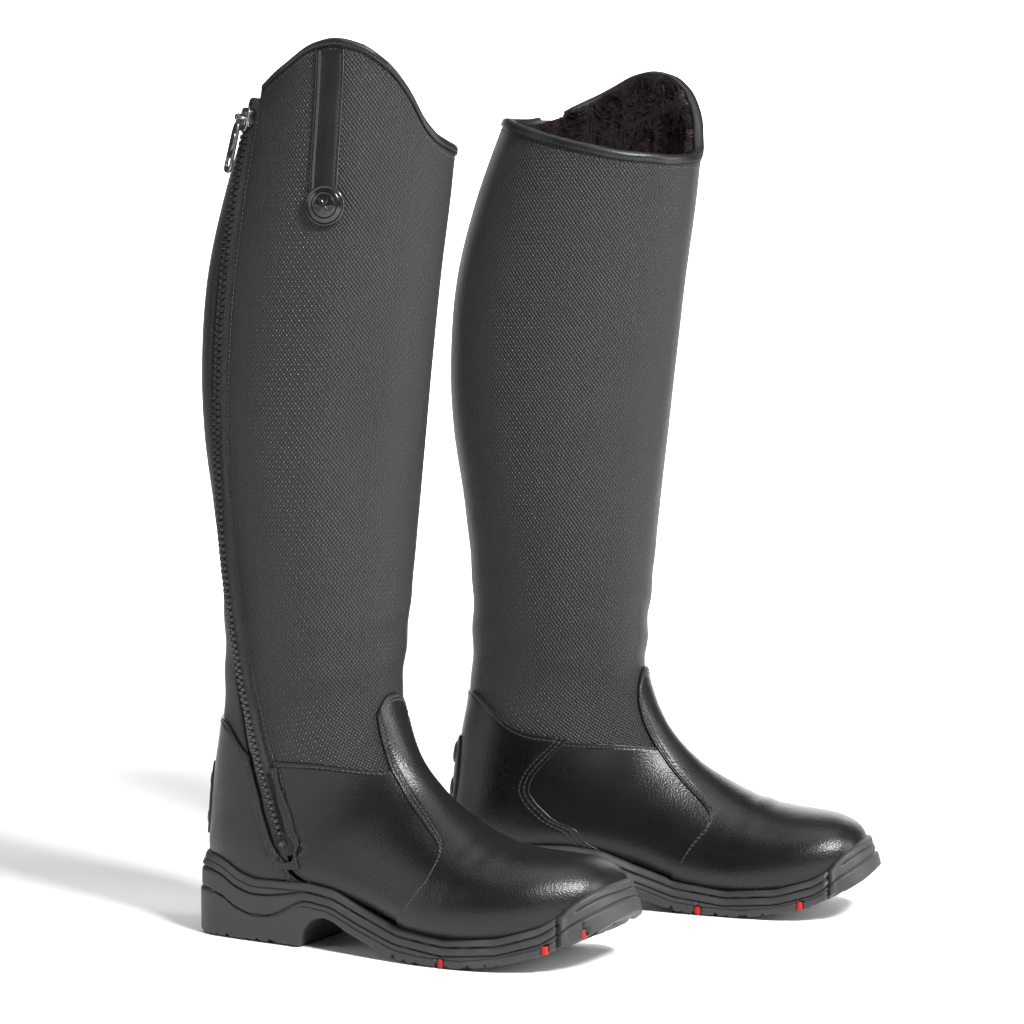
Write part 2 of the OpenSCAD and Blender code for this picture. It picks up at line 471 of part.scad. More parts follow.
right() footbed();  // right_footbed
right() vamp();  // right_vamp
right() toe_puff();  // right_toe_puff
right() quarter_lateral();  // right_quarter_lateral
right() quarter_medial();  // right_quarter_medial
right() heel_counter();  // right_heel_counter
right() counter_stiffener();  // right_counter_stiffener
right() spur_rest();  // right_spur_rest
right() spur_pads();  // right_spur_pads
right() shaft_panel();  // right_shaft_panel
right() rear_gusset();  // right_rear_gusset
right() shaft_lining();  // right_shaft_lining
right() foot_lining();  // right_foot_lining
right() top_binding();  // right_top_binding
right() trim_strap();  // right_trim_strap
right() badge();  // right_badge
right() zip_tape_front();  // right_zip_tape_front
right() zip_tape_rear();  // right_zip_tape_rear
right() zip_teeth_front();  // right_zip_teeth_front
right() zip_teeth_rear();  // right_zip_teeth_rear
right() zip_facing();  // right_zip_facing
right() zip_flap();  // right_zip_flap
right() zip_slider();  // right_zip_slider
right() zip_pull();  // right_zip_pull
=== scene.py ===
import itertools
import json
import math

import bpy
import numpy as np
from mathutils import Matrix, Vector


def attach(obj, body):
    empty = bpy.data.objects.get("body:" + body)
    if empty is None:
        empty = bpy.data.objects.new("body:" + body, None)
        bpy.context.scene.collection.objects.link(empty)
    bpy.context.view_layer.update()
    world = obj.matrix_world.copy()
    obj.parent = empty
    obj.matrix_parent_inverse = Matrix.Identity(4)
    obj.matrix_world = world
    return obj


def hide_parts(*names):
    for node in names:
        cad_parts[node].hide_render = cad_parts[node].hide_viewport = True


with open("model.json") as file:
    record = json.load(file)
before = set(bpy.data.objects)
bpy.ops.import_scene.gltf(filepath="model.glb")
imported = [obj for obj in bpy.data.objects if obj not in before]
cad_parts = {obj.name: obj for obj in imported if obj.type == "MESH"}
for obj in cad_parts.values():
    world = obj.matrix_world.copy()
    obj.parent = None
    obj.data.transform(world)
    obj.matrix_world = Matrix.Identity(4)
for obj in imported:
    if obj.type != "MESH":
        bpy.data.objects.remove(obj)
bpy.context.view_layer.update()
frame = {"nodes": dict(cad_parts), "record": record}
# The pieces are drawn in mm in the left boot's own frame: X from heel to toe, Z up. A place on
# the leather is a ring s (0 at the top, 21 at the toe), an angle a in degrees (0 in front, 90
# outside, 180 behind) and a height above the shaft panel.
MM = 0.001
TOE_OUT = math.radians(6.4)
GAP, AHEAD = 157.0, 89.0
SHIFT = -(285 + AHEAD) / 2
# heights of the upper's layers, and how far the binding reaches down
QUARTER_H, BACK_H, VAMP_H, BIND = .7, 1.4, 1.9, 3.6
CHAIN_LIFT = .4
RING_MM = 50

# ---------------------------------------------------------------- outer surface of a boot
# front X Z, back X Z, place of the widest point, half width, sideways offset, squareness
RINGS = np.array([
    [170, 545, 56, 545, .50, 55, 0, 2.1, 1.9], [167, 500, 42, 500, .50, 54.5, 0, 2.1, 1.9],
    [162, 445, 21, 445, .50, 53.5, 0, 2.1, 1.9], [155, 395, 8, 395, .50, 53.5, 0, 2.1, 1.95],
    [149, 345, 4, 345, .50, 54, 0, 2.1, 2], [144, 300, 6, 300, .50, 55, 0, 2.1, 2],
    [139, 255, 13, 255, .50, 54.5, 0, 2.1, 2], [134.5, 208, 18, 208, .50, 50.5, 0, 2.1, 2],
    [130.5, 168, 18.5, 165, .50, 46, 0, 2.1, 2], [130, 146, 16.5, 130, .50, 41.5, 0, 2.1, 2.1],
    [134, 131, 11.5, 100, .49, 38.5, 0, 2.1, 2.2], [140, 117, 8, 70, .48, 36, 0, 2.1, 2.3],
    [147, 106, 9, 42, .46, 34.5, 0, 2.1, 2.5], [156, 96, 33, 27, .44, 34, 0, 2.1, 2.6],
    [167, 86, 80, 28, .42, 35.5, 1, 2.1, 2.6], [181, 77, 122, 22, .40, 39, 3, 2.1, 2.6],
    [199, 68, 160, 11.5, .38, 44, 4, 2.1, 2.6], [220, 62.5, 196, 9.5, .38, 46.5, 2, 2.1, 2.6],
    [240, 60.5, 229, 13, .38, 43.5, -2, 2.15, 2.6], [256, 58.5, 254, 20, .40, 34, -6, 2.2, 2.5],
    [267.5, 52.5, 268.5, 27, .45, 22, -8, 2.3, 2.4], [273, 41, 273.4, 37, .50, 4, -9, 2.2, 2.2]])


def catmull(p, x):
    """Smooth value at x along the rows of p, which stand at 0, 1, 2 and so on."""
    p = np.asarray(p, float)
    n = len(p)
    x = np.clip(np.asarray(x, float), 0, n - 1 - 1e-6)
    i = np.floor(x).astype(int)
    t = (x - i)[..., None]
    q = np.vstack([2 * p[0] - p[1], p, 2 * p[-1] - p[-2]])
    a, b, c, d = q[i], q[i + 1], q[i + 2], q[i + 3]
    return 0.5 * (2 * b + (c - a) * t + (2 * a - 5 * b + 4 * c - d) * t * t
                  + (3 * b - a - 3 * c + d) * t ** 3)


def surf(s, a):
    """Point of the shaft panel's outer face at ring s and angle a."""
    xf, zf, xb, zb, k, w, y0, nf, nb = np.moveaxis(catmull(RINGS, s), -1, 0)
    a = np.radians(a)
    c, sn = np.cos(a), np.sin(a)
    n = np.where(c > 0, nf, nb)
    cc = np.sign(c) * np.abs(c) ** (2 / n)
    ss = np.sign(sn) * np.abs(sn) ** (2 / n)
    ox, oz = xb + k * (xf - xb), zb + k * (zf - zb)
    return np.stack([ox + np.where(c > 0, xf - ox, ox - xb) * cc, y0 + w * ss,
                     oz + np.where(c > 0, zf - oz, oz - zb) * cc], -1)


def unit(v):
    return v / (np.linalg.norm(v, axis=-1, keepdims=True) + 1e-12)


def normal(s, a):
    return unit(np.cross(surf(s + .02, a) - surf(s - .02, a), surf(s, a + 1.5) - surf(s, a - 1.5)))


def bell(x, m, w):
    return np.exp(-((x - m) / w) ** 2)


class Side:
    """The boot now being made, with the slow unevenness of one boot's leather, different on each boot."""
    now = None

    def __init__(self, name, seed):
        self.name = name
        r = np.random.default_rng(seed)
        self.waves = [(r.uniform(-1, 1) / r.uniform(16, 40), r.uniform(-1, 1) / r.uniform(25, 70),
                       r.uniform(0, 6.3), r.uniform(.05, .12)) for _ in range(14)]
        self.folds = r.uniform(0, 6.3, 4)

    def relief(self, s, a):
        p = surf(s, a)
        u, z = a * 1.05, p[..., 2]
        h = sum(m * np.sin(u * i + z * j + k) for i, j, k, m in self.waves)
        f = self.folds
        aa = (a + 180) % 360 - 180
        # folds across the ankle, front and back, and the flex creases behind the toes
        h = h + .75 * bell(aa, 12, 75) * bell(s, 8.1, 1.1) * np.sin(z / 4.6 + aa / 26 + f[0])
        h = h + .6 * bell(np.abs(aa), 180, 60) * bell(s, 7.9, 1.1) * np.sin(z / 5.4 - aa / 30 + f[1])
        flex = np.sin((p[..., 0] + np.abs(aa) * .12) / 2.3 + f[2])
        h = h + .5 * bell(s, 16.4, .55) * bell(aa, 0, 80) * flex
        return h * np.clip((s - .9) * 2, .15, 1)


def at(s, a, h):
    """Point h mm above the leather, with the boot's own unevenness."""
    s, a = np.broadcast_arrays(np.asarray(s, float), np.asarray(a, float))
    return surf(s, a) + normal(s, a) * np.asarray(h + Side.now.relief(s, a))[..., None]


def across(s, a, d):
    """Angle that lies d mm further round than a on ring s."""
    k = np.linalg.norm(surf(s, a + 1) - surf(s, a - 1), axis=-1) / 2
    b = a + d / k / 2
    return a + d / (np.linalg.norm(surf(s, b + 1) - surf(s, b - 1), axis=-1) / 2)


def smooth_table(pairs, reach):
    """Function through [x, y] pairs, with its corners rounded over reach."""
    p = np.array(pairs, float)
    x = np.linspace(p[0, 0] - 3 * reach, p[-1, 0] + 3 * reach, 4000)
    y = np.interp(x, p[:, 0], p[:, 1])
    n = max(3, int(reach / (x[1] - x[0])))
    k = np.hanning(2 * n + 1)
    y = np.convolve(np.pad(y, n, mode="edge"), k / k.sum(), "valid")
    return lambda q: np.interp(q, x, y)


RIM = [[-204, .98], [-180, 1.12], [-156, 1.14], [-130, 1.26], [-101, 1.41], [-67, 1.56], [-35, 1.60],
       [-6, 1.57], [8, 1.50], [19, 1.36], [28, 1.12], [43, .78], [59, .54], [72, .45], [80, .43],
       [93, .51], [108, .72], [130, .98], [151, 1.10], [180, 1.12], [204, 1.14]]
rim_line = smooth_table(RIM, 9)
zip_angle = smooth_table([[0, 147], [1, 137.5], [2, 128.2], [3, 122.9], [4, 121.4], [5, 122.5],
                          [6, 125.4], [7, 123.6], [8, 116.4], [9, 107.9], [10, 99.8], [11, 94.2],
                          [12, 90.5], [13, 94.7]], .6)
gusset_rear = smooth_table([[1.1, 164], [3, 168], [5, 173], [7, 181], [9, 190]], .8)
HEM = np.array([[-170, 8.88], [-145, 8.92], [-122, 9.35], [-100, 10.0], [-76, 10.6], [-52, 11.3],
                [-29.5, 12.28], [-28, 10.83], [-25.4, 10.0], [-18, 9.35], [-9, 8.93], [0, 8.8],
                [11, 8.88], [19, 9.13], [24.6, 9.5], [26.8, 10.45], [29, 11.64], [33.5, 11.55],
                [65, 10.66], [91, 10.18]])
# the shaft reaches a little under the foot leather that is sewn over it
hem_angles = np.linspace(-190, 110, 3001)
hem_rings = np.interp(hem_angles, HEM[:, 0], HEM[:, 1])
deepest = [hem_rings[max(0, i - 50):i + 51].max() + .12 for i in range(3001)]
hem = smooth_table(np.column_stack([hem_angles, deepest]), .8)


def rim(a):
    return rim_line((np.asarray(a, float) + 180) % 360 - 180)


def beside_zip(s, d):
    return across(s, zip_angle(s), d)


def edge_curve(pts):
    pts = np.array(pts, float)
    return lambda v: catmull(pts, np.asarray(v, float) * (len(pts) - 1))


def coons(top, low, left, right):
    """Patch filled in between four edges; u runs along the top and v down the sides."""
    t, w, l, r = map(edge_curve, (top, low, left, right))
    p00, p01, p10, p11 = (np.array(x, float) for x in (left[0], right[0], left[-1], right[-1]))

    def f(u, v):
        u, v = np.asarray(u, float)[..., None], np.asarray(v, float)[..., None]
        return ((1 - v) * t(u[..., 0]) + v * w(u[..., 0]) + (1 - u) * l(v[..., 0])
                + u * r(v[..., 0]) - (1 - u) * (1 - v) * p00 - u * (1 - v) * p01
                - (1 - u) * v * p10 - u * v * p11)
    return f


# ---------------------------------------------------------------- meshes
class Mesh:
    """Points, faces and flat coordinates in mm of one piece, in the left boot's frame."""

    def __init__(self):
        self.p, self.f, self.uv, self.n = [], [], [], 0

    def add(self, pts, faces, uv=None):
        pts = np.asarray(pts, float).reshape(-1, 3)
        self.p.append(pts)
        self.uv.append(np.asarray(uv, float).reshape(-1, 2) if uv is not None
                       else np.stack([pts[:, 0] + pts[:, 1], pts[:, 2]], -1))
        self.f.extend((np.asarray(q) + self.n).tolist() for q in faces)
        self.n += len(pts)
        return self

    def many(self, shape, faces, frames):
        """One small shape (points m,3) set into each frame: origin and three axes (k,4,3)."""
        pts = frames[:, None, 0] + np.einsum("mi,kij->kmj", shape, frames[:, 1:])
        k, m = pts.shape[:2]
        all_f = [list(np.array(q) + i * m) for i in range(k) for q in faces]
        return self.add(pts, all_f)


def quads(r, c, wrap=False, flip=False, base=0):
    i, j = np.meshgrid(np.arange(r - 1), np.arange(c if wrap else c - 1), indexing="ij")
    k = (j + 1) % c
    q = np.stack([i * c + j, (i + 1) * c + j, (i + 1) * c + k, i * c + k], -1).reshape(-1, 4)
    return (q[:, ::-1] if flip else q) + base


def to_world(p, side):
    x, y, z = p[:, 0], p[:, 1], p[:, 2]
    c, s = math.cos(TOE_OUT), math.sin(TOE_OUT)
    if side == "left":
        return np.stack([c * x - s * y + SHIFT + AHEAD, s * x + c * y + GAP / 2, z], -1) * MM
    return np.stack([c * x - s * y + SHIFT, -(s * x + c * y) - GAP / 2, z], -1) * MM


def emit(name, mesh, slot, body="root", angle=38, extra=False):
    """Puts a piece into the scene in place of its CAD solid; an extra one replaces nothing."""
    side = Side.now.name
    pts = to_world(np.vstack(mesh.p), side)
    faces = [f[::-1] for f in mesh.f] if side == "right" else mesh.f
    me = bpy.data.meshes.new(f"{side}_{name}")
    me.from_pydata(pts.tolist(), [], faces)
    uv = np.vstack(mesh.uv)
    loops = np.zeros(len(me.loops), int)
    me.loops.foreach_get("vertex_index", loops)
    me.uv_layers.new(name="UVMap").data.foreach_set("uv", uv[loops].ravel())
    me.validate()
    me.polygons.foreach_set("use_smooth", [True] * len(me.polygons))
    me.set_sharp_from_angle(angle=math.radians(angle))
    me.materials.append(MATS[slot])
    o = bpy.data.objects.new(f"vis_{side}_{name}", me)
    bpy.context.scene.collection.objects.link(o)
    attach(o, body if body == "root" else f"{side}_{body}")
    if not extra:
        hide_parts(f"{side}_{name}")
    return o


def closed(pts, faces):
    """Faces of a closed shape, all turned so that the volume inside is positive."""
    tri = np.array([[f[0], f[i], f[i + 1]] for f in faces for i in range(1, len(f) - 1)])
    a, b, c = (pts[tri[:, i]] for i in range(3))
    return [f[::-1] for f in faces] if np.einsum("ij,ij", a, np.cross(b, c)) < 0 else faces


def slab(top, low, uv):
    """Closed sheet between two grids of points, with its faces turned outwards."""
    r, c = top.shape[:2]
    n = r * c
    edge = np.concatenate([np.arange(c), np.arange(1, r) * c + c - 1,
                           (r - 1) * c + np.arange(c - 2, -1, -1), np.arange(r - 2, 0, -1) * c])
    nxt = np.roll(edge, -1)
    faces = np.vstack([quads(r, c), quads(r, c, flip=True, base=n),
                       np.stack([edge, nxt, nxt + n, edge + n], -1)])
    i, j = r // 2, c // 2
    up = np.cross(top[i + 1, j] - top[i, j], top[i, j + 1] - top[i, j])
    if up @ (top[i, j] - low[i, j]) < 0:
        faces = faces[:, ::-1]
    return Mesh().add(np.concatenate([top.reshape(-1, 3), low.reshape(-1, 3)]), faces,
                      np.concatenate([uv.reshape(-1, 2)] * 2))


GRID_S, GRID_A = np.linspace(0, 21, 211), np.arange(-362, 363, 2.0)
ROUND_MM = np.concatenate([np.zeros((211, 1)), np.cumsum(np.linalg.norm(np.diff(
    surf(GRID_S[:, None], GRID_A[None]), axis=1), axis=-1), axis=1)], 1)
ROUND_MM -= ROUND_MM[:, [181]]
DOWN_MM = np.concatenate([[0], np.cumsum(np.linalg.norm(np.diff(surf(GRID_S, 60.0), axis=0), axis=1))])


def flat_uv(s, a):
    """Lengths in mm round and down the leg, for finishes that follow the leather."""
    i = np.clip(s / .1, 0, 209.999)
    j = np.clip((a + 362) / 2, 0, 361.999)
    i0, j0 = i.astype(int), j.astype(int)
    x = ((ROUND_MM[i0, j0] * (1 - j + j0) + ROUND_MM[i0, j0 + 1] * (j - j0)) * (1 - i + i0)
         + (ROUND_MM[i0 + 1, j0] * (1 - j + j0) + ROUND_MM[i0 + 1, j0 + 1] * (j - j0)) * (i - i0))
    return np.stack([x, np.interp(s, GRID_S, DOWN_MM)], -1)


def spaced(length, step, fine=(0, .2, .5, .9, 1.3, 1.7, 2.1, 2.5, 3.0, 3.6, 4.1, 4.6, 5.1, 5.8)):
    """Fractions along an edge of that length in mm, closer together near both ends."""
    ends = np.array([x for x in fine if x < length * .3])
    inner = np.linspace(ends[-1], length - ends[-1], max(3, int((length - 2 * ends[-1]) / step) + 1))
    return np.concatenate([ends[:-1], inner, (length - ends[:-1])[::-1]]) / length


def spans(f, u, v):
    """Length in mm of each row and each column of patch f."""
    q = f(*np.meshgrid(u, v))
    p = surf(q[..., 0], q[..., 1])
    return (np.linalg.norm(np.diff(p, axis=1), axis=-1).sum(1),
            np.linalg.norm(np.diff(p, axis=0), axis=-1).sum(0))


def roll(d, r=.9):
    """Drop of a rounded leather edge at d mm from it."""
    x = np.clip(1 - d / r, 0, 1)
    return r * (1 - np.sqrt(1 - x * x))


def panel(f, lo, hi, step=2.4, sewn="", seam=2.3, radius=.8, puff=0.0, double=""):
    """Sheet of leather over patch f from height lo to hi. sewn names the edges, among
    l r t b, that have a stitch line pressed into them at seam mm; double has two lines."""
    t = np.linspace(0, 1, 40)
    rows, cols = spans(f, t, t)
    u, v = spaced(rows.mean(), step), spaced(cols.mean(), step)
    U, V = np.meshgrid(u, v)
    q = f(U, V)
    rl, cl = np.interp(v, t, rows)[:, None], np.interp(u, t, cols)[None, :]
    d = {"l": U * rl, "r": (1 - U) * rl, "t": V * cl, "b": (1 - V) * cl}
    near = np.minimum(np.minimum(d["l"], d["r"]), np.minimum(d["t"], d["b"]))
    h = hi - roll(near, radius) + puff * np.clip(near / 8, 0, 1) ** .5
    for k in sewn:
        h = h - .34 * bell(d[k], seam, .75)
        if k in double:
            h = h - .34 * bell(d[k], 2 * seam, .75)
    s, a = q[..., 0], q[..., 1]
    return slab(at(s, a, h), at(s, a, np.full_like(h, lo)), flat_uv(s, a))


def inset(f, edge, d, n=240, cut=(0, 1)):
    """Line of [ring, angle] points d mm inside one edge of patch f."""
    t = np.linspace(0, 1, 60)
    rows, cols = spans(f, t, t)
    v = np.linspace(cut[0], cut[1], n)
    if edge in "lr":
        u = d / np.interp(v, t, rows)
        return f(u if edge == "l" else 1 - u, v)
    u = d / np.interp(v, t, cols)
    return f(v, u if edge == "t" else 1 - u)


def stitches(mesh, line, h, pitch=3.1, length=2.5, r=.4, skip=1.5):
    """Thread along a line of [ring, angle] points, each stitch sunk at both ends."""
    p = at(line[:, 0], line[:, 1], h)
    nrm = normal(line[:, 0], line[:, 1])
    d = np.concatenate([[0], np.cumsum(np.linalg.norm(np.diff(p, axis=0), axis=1))])
    k = int((d[-1] - 2 * skip) / pitch)
    if k < 1:
        return mesh
    c = skip + (d[-1] - 2 * skip - k * pitch) / 2 + pitch * (np.arange(k) + .5)
    jit = np.random.default_rng(len(line) + k).normal(0, .05, k)

    def along(x):
        return np.stack([np.interp(x, d, p[:, i]) for i in range(3)], -1)
    a, b = along(c - length / 2), along(c + length / 2)
    m = (a + b) / 2
    y = unit(b - a)
    z = unit(np.stack([np.interp(c, d, nrm[:, i]) for i in range(3)], -1))
    x = unit(np.cross(y, z))
    z = np.cross(x, y)
    frames = np.stack([m + x * jit[:, None], x, y, z], 1)
    ring = np.linspace(0, 2 * np.pi, 7)[:-1]
    shape, prof = [], [(-.5, .35, -.42), (-.4, .85, -.1), (-.16, 1, .12), (.16, 1, .12),
                       (.4, .85, -.1), (.5, .35, -.42)]
    for yy, rr, zz in prof:
        shape += [[r * rr * np.cos(t), yy * length, r * rr * np.sin(t) + zz * r * 1.6] for t in ring]
    faces = [q.tolist() for q in quads(6, 6, wrap=True, flip=True)]
    faces += [[0, 1, 2, 3, 4, 5], [35, 34, 33, 32, 31, 30]]
    return mesh.many(np.array(shape), faces, frames)


def chamfer_box(c, h, k):
    """Box with centre c, half sizes h and its edges cut by k."""
    keys = [(s, ax) for s in itertools.product((-1, 1), repeat=3) for ax in range(3)]
    pts = np.array([np.array(s) * (np.array(h) - k) + np.eye(3)[ax] * s[ax] * k for s, ax in keys])
    faces = []
    for d in itertools.product((-1, 0, 1), repeat=3):
        ids = [i for i, (s, ax) in enumerate(keys) if d[ax] and all(e in (0, f) for e, f in zip(d, s))]
        if ids:
            q = pts[ids] - pts[ids].mean(0)
            turn = np.arctan2(q @ unit(np.cross(d, q[0])), q @ unit(q[0]))
            faces.append([ids[i] for i in np.argsort(turn)])
    return pts + c, faces


def lathe(profile, n=64, wob=None):
    """Turned shape about Z from [radius, height] pairs; the first and last are on the axis."""
    p = np.array(profile, float)
    t = np.arange(n) * 2 * np.pi / n
    r, z = p[1:-1, 0][:, None], p[1:-1, 1][:, None] + 0 * t
    if wob is not None:
        z = z + wob(r, t[None])
    pts = np.stack([r * np.cos(t), r * np.sin(t), z], -1).reshape(-1, 3)
    m = len(p) - 2
    pts = np.vstack([pts, [[0, 0, p[0, 1]], [0, 0, p[-1, 1]]]])
    f = [q.tolist() for q in quads(m, n, wrap=True, flip=True)]
    f += [[m * n, (j + 1) % n, j] for j in range(n)]
    f += [[m * n + 1, (m - 1) * n + j, (m - 1) * n + (j + 1) % n] for j in range(n)]
    return pts, [q[::-1] for q in f]


# ---------------------------------------------------------------- materials
def rgb(v):
    return (v[0], v[1], v[2], 1)


class Mat:
    """A node material with small helpers for building height and colour detail."""

    def __init__(self, name, color, rough, **inputs):
        self.m = bpy.data.materials.new(name)
        self.m.use_nodes = True
        self.t = self.m.node_tree
        self.b = self.t.nodes["Principled BSDF"]
        self.b.inputs["Base Color"].default_value = rgb(color)
        self.b.inputs["Roughness"].default_value = rough
        for k, v in inputs.items():
            self.b.inputs[k.replace("_", " ")].default_value = v
        tc = self.node("ShaderNodeTexCoord")
        self.uv, self.obj = tc.outputs["UV"], tc.outputs["Object"]

    def node(self, kind, **inputs):
        n = self.t.nodes.new(kind)
        for k, v in inputs.items():
            self.put(n.inputs[k.replace("_", " ")], v)
        return n

    def put(self, socket, v):
        if isinstance(v, bpy.types.NodeSocket):
            self.t.links.new(v, socket)
        else:
            socket.default_value = v

    def math(self, op, a, b=0.0, c=0.0):
        n = self.t.nodes.new("ShaderNodeMath")
        n.operation = op
        for i, v in enumerate((a, b, c)):
            self.put(n.inputs[i], v)
        return n.outputs[0]

    def noise(self, scale, detail=3, rough=.55, vec=None, out="Fac"):
        n = self.node("ShaderNodeTexNoise", Vector=vec or self.obj, Scale=scale, Detail=detail,
                      Roughness=rough)
        return n.outputs[out]

    def voronoi(self, scale, vec=None, feature="F1", smooth=None):
        n = self.t.nodes.new("ShaderNodeTexVoronoi")
        n.feature = feature
        self.put(n.inputs["Vector"], vec or self.obj)
        n.inputs["Scale"].default_value = scale
        if smooth is not None:
            n.inputs["Smoothness"].default_value = smooth
        return n.outputs["Distance"]

    def ramp(self, fac, *stops):
        n = self.node("ShaderNodeValToRGB", Fac=fac)
        e = n.color_ramp.elements
        while len(e) < len(stops):
            e.new(.5)
        for x, (pos, col) in zip(e, stops):
            x.position = pos
            x.color = rgb(col) if hasattr(col, "__len__") else (col, col, col, 1)
        return n.outputs["Color"]

    def remap(self, fac, a, b, lo, hi):
        n = self.node("ShaderNodeMapRange", Value=fac)
        for k, v in zip(("From Min", "From Max", "To Min", "To Max"), (a, b, lo, hi)):
            n.inputs[k].default_value = v
        return n.outputs["Result"]

    def split(self, vec=None):
        n = self.node("ShaderNodeSeparateXYZ", Vector=vec or self.uv)
        return n.outputs

    def bump(self, height, strength, dist, before=None):
        n = self.node("ShaderNodeBump", Height=height, Strength=strength, Distance=dist)
        if before is not None:
            self.put(n.inputs["Normal"], before)
        return n.outputs["Normal"]

    def set(self, **links):
        for k, v in links.items():
            self.put(self.b.inputs[k.replace("_", " ")], v)
        return self.m


def embossed():
    """Coated fabric pressed with a fine diagonal diamond weave."""
    m = Mat("embossed_shaft", (.03, .03, .031), .42, Specular_IOR_Level=.36)
    wob = m.noise(60, 2, vec=m.obj)
    x, y, _ = m.split()
    x = m.math("ADD", x, m.math("MULTIPLY", wob, .5))
    a = m.math("MULTIPLY", m.math("ADD", x, m.math("MULTIPLY", y, .82)), 1.36)
    b = m.math("MULTIPLY", m.math("SUBTRACT", x, m.math("MULTIPLY", y, .82)), 1.36)
    sa, sb = m.math("SINE", a), m.math("SINE", b)
    cell = m.math("MULTIPLY", sa, sb)
    h = m.math("POWER", m.math("ABSOLUTE", cell), .6)
    up = m.math("GREATER_THAN", cell, 0.0)
    twill = m.math("SINE", m.math("MULTIPLY", m.math("ADD", m.math("MULTIPLY", a, up),
                   m.math("MULTIPLY", b, m.math("SUBTRACT", 1.0, up))), 5.0))
    h2 = m.math("ADD", h, m.math("MULTIPLY", twill, .1))
    n = m.bump(h2, 1.0, .0006)
    n = m.bump(m.noise(900, 2), .25, .0001, n)
    worn = m.noise(9, 3)
    # The colour follows the weave's height: raised diamonds are painted lighter (painted highlight) and the
    # grooves between them painted darker (painted shade). The noise in worn adds random patchy tone on top.
    col = m.ramp(m.math("ADD", m.math("MULTIPLY", h, .7), m.math("MULTIPLY", worn, .5)),
                 (.1, (.002, .002, .0023)), (.6, (.0095, .0095, .0105)), (1, (.022, .022, .024)))
    r = m.math("ADD", m.remap(h, 0, 1, .55, .31), m.remap(worn, .3, .7, -.05, .06))
    return m.set(Base_Color=col, Roughness=r, Normal=n)


def leather(name, color, rough, grain=900, depth=.00012, gloss=0.0, wear=.05):
    """Smooth leather: fine pebbles, pores, faint creases and uneven polish."""
    m = Mat(name, color, rough, Specular_IOR_Level=.34, Coat_Weight=gloss, Coat_Roughness=.16)
    v = m.voronoi(grain, feature="SMOOTH_F1", smooth=.35)
    fine = m.voronoi(grain * 2.3, feature="DISTANCE_TO_EDGE")
    n = m.bump(v, .42, depth)
    n = m.bump(fine, .2, depth * .5, n)
    n = m.bump(m.noise(300, 4, .6), .16, .0003, n)
    n = m.bump(m.noise(55, 4, .6), .16, .0005, n)
    polish = m.noise(14, 4, .6)
    col = m.ramp(polish, (.25, [c * .75 for c in color]), (.8, [c * 1.5 + .002 for c in color]))
    r = m.math("ADD", m.remap(polish, .3, .7, rough - wear, rough + wear), m.remap(v, 0, 1, -.05, .08))
    return m.set(Base_Color=col, Roughness=r, Normal=n)


def rubber(name, color, rough=.55):
    m = Mat(name, color, rough, Specular_IOR_Level=.3)
    dust = m.noise(26, 5, .62)
    n = m.bump(m.noise(1400, 3), .35, .00012)
    n = m.bump(m.noise(160, 3), .12, .0004, n)
    col = m.ramp(dust, (.3, [c * .82 for c in color]), (.62, color), (.85, [c * 1.35 + .012 for c in color]))
    return m.set(Base_Color=col, Roughness=m.remap(dust, .3, .75, rough - .07, rough + .12), Normal=n)


def woven(name, color, pitch=.55, rough=.8):
    """Ribbed narrow tape, one rib every pitch mm."""
    m = Mat(name, color, rough, Sheen_Weight=.35, Sheen_Roughness=.5)
    x, y, _ = m.split()
    k = 2 * math.pi / pitch
    a = m.math("SINE", m.math("MULTIPLY", y, k))
    b = m.math("SINE", m.math("MULTIPLY", x, k * .55))
    h = m.math("MULTIPLY", a, b)
    n = m.bump(h, .8, .00022)
    n = m.bump(m.noise(2600, 2), .3, .00008, n)
    # The colour follows the rib height: the ribs are painted lighter (painted highlight) and the dips
    # between them painted darker (painted shade).
    col = m.ramp(m.remap(h, -1, 1, 0, 1), (0, [c * .5 for c in color]), (1, [c * 1.7 for c in color]))
    return m.set(Base_Color=col, Normal=n)


def thread():
    m = Mat("thread", (.01, .01, .011), .55, Sheen_Weight=.15, Sheen_Roughness=.4)
    x, y, _ = m.split()
    tw = m.math("SINE", m.math("MULTIPLY", m.math("ADD", x, y), 9.0))
    n = m.bump(tw, .6, .00012)
    # The colour follows the twist: the ridges are painted lighter (painted highlight) and the grooves
    # between them painted darker (painted shade).
    col = m.ramp(m.remap(tw, -1, 1, 0, 1), (0, (.004, .004, .004)), (1, (.026, .026, .027)))
    return m.set(Base_Color=col, Normal=n)


def fleece():
    m = Mat("fleece", (.018, .013, .011), .9, Sheen_Weight=.35, Sheen_Roughness=.5,
            Specular_IOR_Level=.15)
    m.b.inputs["Sheen Tint"].default_value = (.3, .22, .2, 1)
    a = m.noise(300, 4, .7)
    col = m.ramp(a, (.25, (.003, .0022, .002)), (.6, (.011, .0078, .007)), (.85, (.03, .021, .019)))
    n = m.bump(m.noise(1800, 3), .7, .0005)
    return m.set(Base_Color=col, Normal=n)


def metal(name, color, rough, metallic=1.0):
    """Dark coated metal, brighter where its edges are rubbed."""
    m = Mat(name, color, rough, Metallic=metallic, Specular_IOR_Level=.5)
    g = m.t.nodes.new("ShaderNodeNewGeometry")
    rub = m.math("MULTIPLY", m.remap(g.outputs["Pointiness"], .5, .58, 0, 1), m.noise(700, 3))
    n = m.bump(m.noise(1500, 3), .15, .0001)
    col = m.ramp(rub, (.1, color), (.6, [min(1, c * 2.4 + .1) for c in color]))
    return m.set(Base_Color=col, Roughness=m.remap(m.noise(300, 4), .3, .7, rough - .06, rough + .1),
                 Normal=n)


